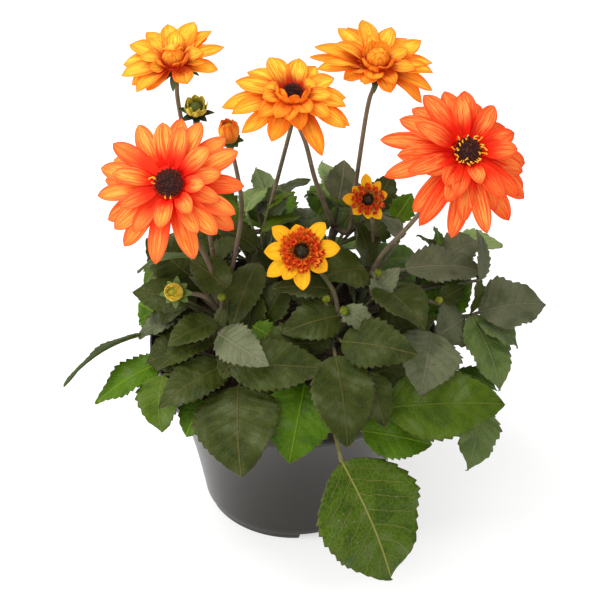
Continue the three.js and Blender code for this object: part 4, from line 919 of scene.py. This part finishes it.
# The pieces
def build_stem(name):
    """One stem with its leaves, flower stalks, cups and closed buds."""
    stem = STEMS[name]
    body = Body()
    foot, crown = stem["foot"], stem["crown"]
    draw = random.Random(len(name) * 7 + int(crown[0]))
    path = smooth_path([foot - UP * HOLE_DEPTH, foot - UP * 10, foot + UP * 3, foot + UP * 6,
                        foot + (crown - foot) * STEM_BEND_AT, crown + unit(crown - foot) * 1.5], 7)
    radii = STEM_RADIUS * (1 - 0.25 * np.linspace(0, 1, len(path)))
    radii[-1] *= 0.5
    tube(body, path, radii, 14, blend(*stem["tints"], len(path)))
    for rank, (row, look) in enumerate(zip(stem["leaves"], stem["looks"])):
        leaf(body, stem, rank, (place(row[0]), place(row[1]), *row[2:]), look, draw)
    for rank, row in enumerate(BACK_LEAVES.get(name, ())):
        leaf(body, stem, rank, row, BACK_LOOKS[rank % 4], draw)
    for bloom in BLOOMS.values():
        flower_foot(body, name, bloom, BLOOM_STALK_RADIUS, -CORE_HEIGHT - 2, 6, -CORE_HEIGHT - GAP)
    for bloom in SMALL_BLOOMS.values():
        flower_foot(body, name, bloom, THIN_STALK_RADIUS, -5, 4.5, -3 - GAP, 6)
    for bud in BUDS.values():
        flower_foot(body, name, bud, THIN_STALK_RADIUS, -3, bud["radius"] * 0.8, -GAP, bud["bract_length"],
                    bud["bract_rise"], bud["cup"])
    for owner, spot, radius in CLOSED_BUDS:
        if owner == name:
            closed_bud(body, stem, place(spot), radius, draw)
    body.build(name, "foliage", MATERIALS["foliage"])


def build_bloom(name, bloom):
    """The petals and the disc of one open bloom."""
    face = Face(bloom)
    radius = bloom["disc_radius"]
    draw = random.Random(len(name))
    same = seeded(len(name) * 97 + radius)
    amber = bloom["look"] == "amber"
    point = 0.95 if amber else 0.70
    petals, disc = Body(), Body()
    core = radius + CORE_BEYOND_DISC
    profile = [(0, -CORE_HEIGHT), (core - 2, -CORE_HEIGHT), (core, -0.4), (0, -0.2)]
    face.turned(petals, profile, 32, coords=(0.0, 0.0, 0.5))
    for ring_name, width, out, height in (("outer", OUTER_PETAL_WIDTH, radius, -2.8),
                                          ("inner", INNER_PETAL_WIDTH, radius + 1, -1.1)):
        for i, row in enumerate(bloom[ring_name]):
            layer = 1 if i % 2 else -1
            lift = row[2] if len(row) > 2 else bloom[ring_name + "_lift"]
            lift = lift + layer * LAYER_STEP + same(-1, 1)
            sheet = petal_sheet(face, out, height + layer * ROOT_STEP, row[0], row[1], lift)
            # amber petals at the front face downward and get a higher tone-and-shade value: painted shade as
            # a darker, redder base
            front = 0.5 - 0.5 * math.sin(math.radians(row[0]))
            tone_and_shade = front ** 2 * 0.7 + draw.uniform(0, 0.35) if amber else draw.random()
            petal(petals, sheet, width * draw.uniform(0.9, 1.08), draw, point, tone_and_shade=tone_and_shade)
    disc_dome(disc, face, radius, DISC_HEIGHT, 150, 1.5)
    for turn in bloom["florets"]:
        pollen_floret(disc, face, turn + draw.uniform(-9, 9), radius, draw.uniform(0.4, 3.4), draw)
        if len(bloom["florets"]) > 5:
            for beyond in (14, 30):
                shifted = turn + draw.uniform(2, beyond)
                pollen_floret(disc, face, shifted, radius, draw.uniform(-2.6, 2.4), draw)
    for turn, reach, lift in bloom["bowed"]:
        sheet = petal_sheet(face, radius + 0.8, -0.6, turn, reach, lift)
        width = BOWED_PETAL_WIDTH * draw.uniform(0.85, 1.1)
        # bowed petals standing less than upright get a dark base colour: painted shade in the hollows round
        # the disc
        tone_and_shade = 0.9 if lift < UPRIGHT else draw.uniform(0.1, 0.5)
        petal(petals, sheet, width, draw, 0.95, 15, 11, cup=0.02, curl=0.0, tone_and_shade=tone_and_shade)
    petals.build(name + "_petals", bloom["slot"], PETAL_MATERIALS[bloom["look"]])
    disc.build(name + "_disc", "disc", MATERIALS["disc"], MATERIALS["pollen"])


def build_small_bloom(name, bloom):
    """The rays, the ring of open tube florets and the disc of one small bloom. The back one is slighter."""
    face = Face(bloom)
    radius, ring_radius, count = bloom["disc_radius"], bloom["ring_radius"], bloom["floret_count"]
    back = name == "small_bloom_back"
    draw = random.Random(len(name) + 5)
    rays, florets, disc = Body(), Body(), Body()
    profile = [(0, -3), (radius, -3), (radius + 2, -0.2), (0, -0.1)]
    face.turned(rays, profile, 24, coords=(0.0, 0.0, 0.5))
    for i, row in enumerate(bloom["rays"]):
        lift = bloom["ray_lift"] + (LAYER_STEP if i % 2 else -LAYER_STEP)
        sheet = petal_sheet(face, radius, -1.8, row[0], row[1] * draw.uniform(0.98, 1.08), lift)
        width = bloom["ray_width"] * (draw.uniform(0.6, 0.8) if back else draw.uniform(0.76, 0.92))
        petal(rays, sheet, width, draw, 0.85, curl=draw.uniform(-0.02, 0.12))
    for layer, (share, height, more) in enumerate(((1.20, 3.8, 4), (0.98, 5.0, 2), (0.76, 5.8, 0))):
        for i in range(count + more):
            turn = (i + 0.5 * layer) * 360 / (count + more) + draw.uniform(-7, 7)
            root = face.point(turn, radius + 1.2, 0.8 + layer * 0.6)
            reach = ring_radius * share + draw.uniform(-0.8, 0.8)
            tip = face.point(turn, reach, height + draw.uniform(-0.7, 0.7))
            tube_floret(florets, root, tip, 1.35 if back else 1.75, draw.uniform(0.7, 1.2))
    inner, outer = radius + 0.6, radius + 2.2
    profile = [(inner, 0.4), (outer, 0.4), (radius + 2.0, 2.2), (inner, 2.2), (inner, 0.4)]
    face.turned(florets, profile, 24, coords=(0.1, 0.8, 0.0))
    disc_dome(disc, face, radius, SMALL_DISC_HEIGHT, 60, 1.3)
    rays.build(name + "_rays", "yellow_petals", PETAL_MATERIALS["golden"])
    kind = MATERIALS["brown_florets" if back else "tube_florets"]
    florets.build(name + "_florets", "orange_florets", kind, MATERIALS["floret_mouths"])
    disc.build(name + "_disc", "disc", MATERIALS["green_disc"])


def build_bud(name, bud):
    """The petals of one coloured bud: a core and two rings of closed petals."""
    face = Face(bud)
    radius, height = bud["radius"], bud["height"]
    draw = random.Random(len(name) + 11)
    body = Body()
    core = ((0, 0), (0.8, 0), (0.88, 0.45), (0.5, 0.75), (0, 0.85))
    face.turned(body, [(radius * a, height * b) for a, b in core], 24, coords=(0.0, 0.2, 0.4))
    for layer, (reach, tall, more, wide) in enumerate(((1.0, 1.0, 1, 1.0), (0.72, 1.04, 0, 0.85))):
        count = bud["petals"] + more
        for i in range(count):
            turn = (i + 0.5 * layer) * 360 / count + draw.uniform(-5, 5)
            root = face.point(turn, radius * (0.72 - 0.14 * layer), 0.3)
            tip = face.point(turn + 8, radius * bud["open"] * reach, height * tall * draw.uniform(0.9, 1.02))
            sheet = Sheet(root, tip, root - face.origin, arch=0.17, fold=-0.28)
            petal(body, sheet, radius * 1.05 * wide, draw, 1.1, 13, 9, cup=0, curl=0.02, ridge=0.2)
    body.build(name + "_petals", bud["slot"], PETAL_MATERIALS[bud["look"]])


def wall_radius(z):
    return WALL_FOOT_RADIUS + WALL_SLOPE * z + WALL_FLARE * (z / WALL_TOP) ** 3


def from_channel(across, behind):
    """The distance along and across the nearest channel of the foot."""
    step = 2 * math.pi / CHANNEL_COUNT
    turn = np.arctan2(behind, across) - math.radians(CHANNEL_TURN - 90)
    turn = (turn + step / 2) % step - step / 2
    reach = np.hypot(across, behind)
    return reach * np.cos(turn), np.abs(reach * np.sin(turn))


def build_pot():
    """The pot: foot with channels, recessed wall, broad rim band, and its inside down to the soil."""
    body = Body()
    rows = [(FOOT_RADIUS - 0.5, 0.0), (FOOT_RADIUS, 0.6), (FOOT_RADIUS, FOOT_HEIGHT - 0.5),
            (FOOT_RADIUS + 0.2, FOOT_HEIGHT), (wall_radius(FOOT_HEIGHT) - 0.2, FOOT_HEIGHT + 0.2)]
    rows += [(wall_radius(z), z) for z in np.linspace(FOOT_HEIGHT + 0.8, WALL_TOP - 0.5, 26)]
    rows.append((wall_radius(WALL_TOP) + 0.3, WALL_TOP + 0.2))
    # the rim band, as depth inside its outer face and height
    band = [(2.4, RIM_BASE - 0.4), (1.2, RIM_BASE), (0.5, RIM_BASE + 1.2), (0.1, RIM_STRAIGHT_FROM - 2),
            (0, RIM_STRAIGHT_FROM), (0, POT_HEIGHT - 2.4), (0.15, POT_HEIGHT - 1.1), (0.6, POT_HEIGHT - 0.3),
            (1.1, POT_HEIGHT), (1.6, POT_HEIGHT - 0.3), (WALL, POT_HEIGHT - 1.2), (WALL, SOIL_TOP - 2),
            (WALL + 3, SOIL_TOP - 3)]
    rows += [(RIM_RADIUS - depth, z) for depth, z in band]
    body.add(lathe(rows, POT_SIDES), grid_faces(len(rows), POT_SIDES, wrap=True))
    # the underside, a plate with radial channels
    plate = lathe([(radius, 0) for radius in np.linspace(0.5, FOOT_RADIUS - 0.5, 30)], POT_SIDES)
    along, beside = from_channel(plate[..., 0], plate[..., 1])
    plate[..., 2] = np.where((beside < CHANNEL_WIDTH / 2) & (along > CHANNEL_START), CHANNEL_HEIGHT, 0.0)
    body.add(plate, [face[::-1] for face in grid_faces(len(plate), POT_SIDES, wrap=True)])
    piece = body.build("pot", "pot_plastic", MATERIALS["pot_plastic"])
    # the channels open through the foot, whose lowest rows rise there
    for vertex in piece.data.vertices:
        x, y, z = (c / MM for c in vertex.co)
        if z >= CHANNEL_HEIGHT - 0.2 or math.hypot(x, y) < FOOT_RADIUS - 3:
            continue
        if from_channel(x, y)[1] < CHANNEL_WIDTH / 2:
            vertex.co.z = CHANNEL_HEIGHT * MM


def build_soil():
    """The soil's top: crumbs over a rough ground, with the rest of its body below."""
    body = Body()
    draw = random.Random(3)
    top = RIM_RADIUS - WALL - GAP
    radii = np.linspace(0.2, top, SOIL_RINGS)
    ground = lathe([(radius, SOIL_TOP - 0.5) for radius in radii], SOIL_SIDES)
    xx, yy = ground[..., 0], ground[..., 1]
    bump = 0
    for _ in range(GROUND_WAVES):
        wave = vec(draw.uniform(-1, 1), draw.uniform(-1, 1)) * draw.uniform(0.12, 0.85)
        ripple = np.sin(xx * wave[0] + yy * wave[1] + draw.uniform(0, 6.28))
        bump = bump + ripple * 0.16 / (0.3 + np.linalg.norm(wave))
    ground[..., 2] += np.clip(bump, -1.3, 1.0) * np.clip((top - radii) / 6, 0, 1)[:, None]
    body.add(ground, grid_faces(SOIL_RINGS, SOIL_SIDES, wrap=True))
    wall = [(0.5, FLOOR + GAP)] + [(wall_radius(z) - WALL - GAP, z) for z in (FLOOR + GAP, WALL_BEND)]
    wall += [(wall_radius(WALL_TOP) - WALL - GAP, WALL_TOP + WALL), (top, RIM_BASE + WALL + GAP)]
    wall.append((top, SOIL_TOP - 0.5))
    body.add(lathe(wall, 60), grid_faces(len(wall), 60, wrap=True))
    crumb = ((0.8, -0.3), (1, 0.25), (0.45, 0.75))
    for _ in range(CRUMB_COUNT):
        turn, reach = draw.uniform(0, 6.283), math.sqrt(draw.random()) * (top - 3)
        spot = vec(reach * math.cos(turn), reach * math.sin(turn), SOIL_TOP + draw.uniform(-0.9, -0.1))
        to_foot = min(np.linalg.norm((spot - stem["foot"])[:2]) for stem in STEMS.values())
        if to_foot < STEM_RADIUS + FOOT_CLEARANCE:
            continue
        size = draw.uniform(0.5, 1.5)
        axis = vec(draw.uniform(-1, 1), draw.uniform(-1, 1), draw.uniform(-0.6, 1))
        profile = [(0.05, -size * 0.7)] + [(size * a, size * b) for a, b in crumb] + [(0.05, size * 0.8)]
        turned(body, profile, spot, axis, 7)
    body.build("soil", "soil", MATERIALS["soil"])


# Materials
class Shader:
    """A small helper round a material's nodes."""

    def __init__(self, name):
        self.material = bpy.data.materials.new(name)
        self.material.use_nodes = True
        self.tree = self.material.node_tree
        self.tree.nodes.clear()

    def node(self, kind, settings=None, **inputs):
        """A node with its settings. Its inputs go by name, or by number as i0, i1 and so on."""
        node = self.tree.nodes.new("ShaderNode" + kind)
        for key, value in (settings or {}).items():
            setattr(node, key, value)
        for key, value in inputs.items():
            self.put(node.inputs[int(key[1:]) if key[1:].isdigit() else key.replace("_", " ")], value)
        return node

    def put(self, socket, value):
        if isinstance(value, bpy.types.NodeSocket):
            self.tree.links.new(value, socket)
        elif socket.type == "RGBA":
            socket.default_value = (*value, 1)
        else:
            socket.default_value = value

    def math(self, operation, a, b=0.0):
        return self.node("Math", {"operation": operation}, i0=a, i1=b).outputs[0]

    def times(self, a, b):
        return self.math("MULTIPLY", a, b)

    def plus(self, a, b):
        return self.math("ADD", a, b)

    def minus(self, a, b):
        return self.math("SUBTRACT", a, b)

    def ramp(self, value, low, high, to_low=0.0, to_high=1.0):
        settings = {"interpolation_type": "SMOOTHSTEP"}
        return self.node("MapRange", settings, i0=value, i1=low, i2=high, i3=to_low, i4=to_high).outputs[0]

    def mix(self, factor, a, b, blend="MIX"):
        return self.node("Mix", {"data_type": "RGBA", "blend_type": blend}, i0=factor, i6=a, i7=b).outputs[2]

    def noise(self, scale, detail, vector, rough=0.5):
        noise = self.node("TexNoise", None, Scale=scale, Detail=detail, Roughness=rough, Vector=vector)
        return noise.outputs[0]

    def vector(self, x, y, z):
        return self.node("CombineXYZ", None, X=x, Y=y, Z=z).outputs[0]

    def layer(self, name, output):
        return self.node("Attribute", {"attribute_name": name}).outputs[output]

    def coords(self):
        return self.node("SeparateXYZ", None, Vector=self.layer("coord", "Vector")).outputs

    def place(self):
        return self.node("NewGeometry").outputs["Position"]

    def bump(self, height, distance, strength):
        return self.node("Bump", None, Height=height, Distance=distance, Strength=strength).outputs[0]

    def finish(self, colour, rough, normal, specular, glow=0.0, glow_colour=None, emitted_light=0.0,
               emitted_light_colour=None):
        """The surface. Its glow is the share of light let through. Its emitted light is an emission:
        on petals a painted glow, on the floor an even whiteness.
        """
        normals = {} if normal is None else {"Normal": normal}
        body = self.node("BsdfPrincipled", None, Base_Color=colour, Roughness=rough, **normals,
                         Specular_IOR_Level=specular)
        if emitted_light:
            self.put(body.inputs["Emission Color"], emitted_light_colour or colour)
            self.put(body.inputs["Emission Strength"], emitted_light)
        out = body.outputs[0]
        if glow:
            through = self.node("BsdfTranslucent", None, Color=glow_colour or colour, **normals).outputs[0]
            out = self.node("MixShader", None, i0=glow, i1=out, i2=through).outputs[0]
        self.tree.links.new(out, self.node("OutputMaterial").inputs[0])
        return self.material


def foliage_material():
    """Leaves: veins, a fine net, broad blotches of painted sheen and painted shade, a fine darker mottle, a
    thin rim and a paler underside.
    """
    s = Shader("dahlia_foliage")
    t, v, out = s.coords()
    tint, vein, under = s.layer("tint", "Color"), s.layer("vein", "Color"), s.layer("under", "Fac")
    spot = s.place()
    blade = s.ramp(out, -0.6, -0.2)
    edge = s.math("ABSOLUTE", v)
    wobble = s.times(s.minus(s.noise(160, 1, spot), 0.5), 0.25)
    swept = s.math("DIVIDE", s.minus(t, s.times(edge, VEIN_SWEEP)), VEIN_SPACING)
    near = s.math("ABSOLUTE", s.minus(s.math("FRACT", s.plus(swept, wobble)), 0.5))
    lateral = s.times(s.ramp(near, 0.44, 0.495), s.ramp(edge, 0.98, 0.5))
    midrib = s.times(s.ramp(out, 0.9, 0.25), blade)
    cells = s.node("TexVoronoi", {"feature": "DISTANCE_TO_EDGE"}, Vector=spot, Scale=330.0).outputs[0]
    net = s.times(s.ramp(cells, 0.12, 0.0), blade)
    # broad blotches of painted grey sheen and painted shade, standing in for light and shade on the puckers
    sheen_and_shade_patches = s.noise(70, 3, spot)
    fine = s.noise(900, 2, spot)
    shade_and_mottle_tint = s.mix(1.0, tint, (0.58, 0.66, 0.55), "MULTIPLY")
    sheen_tint = s.mix(0.22, tint, (0.22, 0.25, 0.14))
    colour = s.mix(s.ramp(sheen_and_shade_patches, 0.36, 0.50), shade_and_mottle_tint, s.mix(s.ramp(sheen_and_shade_patches, 0.50, 0.72), tint, sheen_tint))
    # a fine mottle towards the same darker tint
    colour = s.mix(s.ramp(fine, 0.3, 0.7, 0.0, 0.3), colour, shade_and_mottle_tint)
    colour = s.mix(s.times(net, 0.14), colour, vein)
    colour = s.mix(s.times(s.times(lateral, blade), 0.34), colour, vein)
    colour = s.mix(s.times(midrib, 0.7), colour, vein)
    colour = s.mix(s.times(s.times(s.ramp(edge, 0.93, 1.0), blade), 0.3), colour, (0.10, 0.05, 0.03))
    colour = s.mix(s.times(under, 0.72), colour, s.mix(0.35, (0.115, 0.145, 0.085), vein))
    height = s.minus(s.times(cells, 0.6), s.plus(s.times(lateral, 0.9), midrib))
    height = s.plus(height, s.times(fine, 0.35))
    height = s.plus(height, s.times(sheen_and_shade_patches, 2.4))
    rough = s.ramp(sheen_and_shade_patches, 0.2, 0.8, 0.42, 0.56)
    glow_colour = s.mix(1.0, colour, (1.6, 1.7, 0.5), "MULTIPLY")
    return s.finish(colour, rough, s.bump(height, 0.0011, 0.6), 0.13, 0.16, glow_colour)


def petal_material(name, base, middle, edge, streak, glow=0.25, base_reach=0.36, emitted_light=0.05, warm=0.45):
    """A petal from root to tip: a dark base, a bright middle, coloured edges and fine lengthwise streaks.
    A high tone-and-shade value tints it towards the base colour: random tone, and painted shade on amber
    petals.
    """
    s = Shader(name)
    t, v, tone_and_shade = s.coords()
    lane = s.vector(s.times(t, 2.2), s.times(v, 9.0), s.times(tone_and_shade, 37.0))
    thread = s.vector(s.times(t, 0.9), s.times(v, 5.0), s.times(tone_and_shade, 71.0))
    streaks = s.noise(2.2, 3, lane)
    fine = s.noise(1.5, 1, thread)
    broad = s.noise(55, 2, s.place())
    shift = s.minus(streaks, 0.5)
    reach = s.plus(t, s.times(shift, 0.42))
    flank = s.plus(s.math("ABSOLUTE", v), s.times(shift, 0.75))
    # a high tone-and-shade value lets the dark base colour reach further, which on amber petals is painted
    # shade
    root = s.minus(reach, s.times(tone_and_shade, 0.26))
    colour = s.mix(s.ramp(streaks, 0.38, 0.62), middle, streak)
    colour = s.mix(s.ramp(flank, 0.25, 1.0, 0.0, 0.8), colour, edge)
    colour = s.mix(s.ramp(fine, 0.50, 0.60, 0.0, 0.6), colour, s.mix(0.15, edge, base))
    colour = s.mix(s.ramp(fine, 0.46, 0.36, 0.0, 0.6), colour, streak)
    colour = s.mix(s.ramp(root, base_reach, 0.06), colour, base)
    colour = s.mix(s.ramp(reach, 0.8, 1.02, 0.0, 0.5), colour, edge)
    colour = s.mix(s.ramp(broad, 0.3, 0.7, 0.0, 0.18), colour, s.mix(0.5, edge, base))
    # tint towards the deep base colour by tone-and-shade value: random tone, and painted shade on amber front
    # and hollow petals
    colour = s.mix(s.ramp(tone_and_shade, 0.35, 1.0, 0.0, warm), colour, s.mix(0.25, edge, base))
    bright = s.plus(0.94, s.times(streaks, 0.14))
    colour = s.mix(1.0, colour, s.vector(bright, bright, bright), "MULTIPLY")
    bands = {"wave_type": "BANDS", "bands_direction": "Y"}
    lines = s.node("TexWave", bands, Vector=lane, Scale=0.55, Distortion=1.2).outputs["Fac"]
    normal = s.bump(s.plus(lines, s.times(streaks, 0.8)), 0.0004, 0.5)
    # the petals' emission is a painted glow that stands in for light shining through them
    return s.finish(colour, 0.55, normal, 0.12, glow, emitted_light=emitted_light)


def disc_material(name, heart, outer, tip):
    s = Shader(name)
    grain = s.noise(700, 2, s.place())
    colour = s.mix(s.ramp(s.coords()[0], 0.35, 0.95), heart, outer)
    colour = s.mix(s.ramp(grain, 0.5, 0.72, 0.0, 0.65), colour, tip)
    return s.finish(colour, 0.6, s.bump(grain, 0.0005, 0.5), 0.3)


def grain_material(name, dark, light, scale, rough, distance, specular, glow=0.0):
    """Two tones in a fine grain. Where light comes through, the lower end of each floret is darker red, as
    painted shade among the florets.
    """
    s = Shader(name)
    grain = s.noise(scale, 4, s.place(), 0.6)
    colour = s.mix(s.ramp(grain, 0.3, 0.7), dark, light)
    if glow:
        # painted shade: the lower end of each floret is darkened towards a deep red
        low = s.mix(0.45, colour, (0.16, 0.01, 0.002))
        colour = s.mix(s.ramp(s.coords()[0], 0.1, 1.0), low, colour)
    return s.finish(colour, rough, s.bump(grain, distance, 0.6), specular, glow)


PETAL_MATERIALS = {look: petal_material(look + "_petal", *row) for look, row in PETAL_COLOURS.items()}
MATERIALS = {
    "foliage": foliage_material(),
    "disc": disc_material("disc_florets", (0.020, 0.005, 0.004), (0.075, 0.010, 0.005), (0.26, 0.045, 0.020)),
    "green_disc": disc_material("green_disc_florets", (0.016, 0.013, 0.003), (0.018, 0.007, 0.002),
                                (0.15, 0.09, 0.012)),
}
for key, *row in (
        ("pollen", (0.85, 0.36, 0.02), (0.98, 0.62, 0.06), 500, 0.7, 0.0004, 0.2),
        ("tube_florets", (0.98, 0.11, 0.010), (1.0, 0.36, 0.03), 260, 0.55, 0.0003, 0.12, 0.3),
        ("brown_florets", (0.55, 0.16, 0.03), (0.85, 0.40, 0.09), 260, 0.55, 0.0003, 0.12, 0.2),
        # the insides of the tube florets, darker red than their outsides: painted shade in the tubes
        ("floret_mouths", (0.34, 0.016, 0.003), (0.70, 0.07, 0.008), 400, 0.7, 0.0003, 0.08),
        ("pot_plastic", (0.0170, 0.0142, 0.0112), (0.023, 0.0195, 0.0155), 900, 0.30, 0.00010, 0.29),
        ("soil", (0.010, 0.006, 0.004), (0.050, 0.030, 0.018), 420, 0.95, 0.0012, 0.15)):
    MATERIALS[key] = grain_material(key, *row)

build_pot()
build_soil()
for name in STEMS:
    build_stem(name)
for name, bloom in BLOOMS.items():
    build_bloom(name, bloom)
for name, bloom in SMALL_BLOOMS.items():
    build_small_bloom(name, bloom)
for name, bud in BUDS.items():
    build_bud(name, bud)


# Floor, light and camera
def build_floor(half):
    mesh = bpy.data.meshes.new("floor")
    corners = [(-half, -half, 0), (half, -half, 0), (half, half, 0), (-half, half, 0)]
    mesh.from_pydata(corners, [], [(0, 1, 2, 3)])
    shade = Shader("floor_paper")
    grain = shade.ramp(shade.noise(6, 2, shade.place()), 0.3, 0.7)
    paper = shade.mix(grain, (0.50, 0.50, 0.50), (0.52, 0.52, 0.52))
    mesh.materials.append(shade.finish(paper, 0.9, None, 0.0, emitted_light=0.56, emitted_light_colour=(1, 1, 0.99)))
    floor = bpy.data.objects.new("floor", mesh)
    scene.collection.objects.link(floor)


def aimed(name, data, spot, back):
    """A lamp or camera at a spot, looking away from the direction called back."""
    thing = bpy.data.objects.new(name, data)
    thing.location = spot
    thing.rotation_euler = Vector(back).to_track_quat("Z", "Y").to_euler()
    scene.collection.objects.link(thing)
    return thing


scene = bpy.context.scene
build_floor(6.0)
for name, spot, aim, size, power in (("key", (-0.55, 0.0, 1.5), (0, 0, 0.15), 0.8, 15),
                                     ("front", (-0.4, -1.5, 1.2), (0, 0, 0.15), 1.2, 8),
                                     ("left", (-1.5, -0.25, 0.5), (0, 0, 0.12), 0.5, 12)):
    lamp = bpy.data.lights.new(name, "AREA")
    lamp.shape = "DISK"
    lamp.size = size
    lamp.energy = power
    aimed(name, lamp, spot, Vector(spot) - Vector(aim))
world = bpy.data.worlds.new("studio")
world.use_nodes = True
background = world.node_tree.nodes["Background"]
background.inputs[0].default_value = (1, 1, 1, 1)
background.inputs[1].default_value = 0.9
scene.world = world
scene.view_settings.view_transform = "Standard"

camera_data = bpy.data.cameras.new("camera")
camera_data.sensor_width = SENSOR
camera_data.lens = SENSOR * VIEW_DISTANCE / (PICTURE_PIXELS * PICTURE_SCALE)
scene.camera = aimed("camera", camera_data, Vector(VIEW_EYE * MM), VIEW_BACK)

bpy.context.view_layer.update()
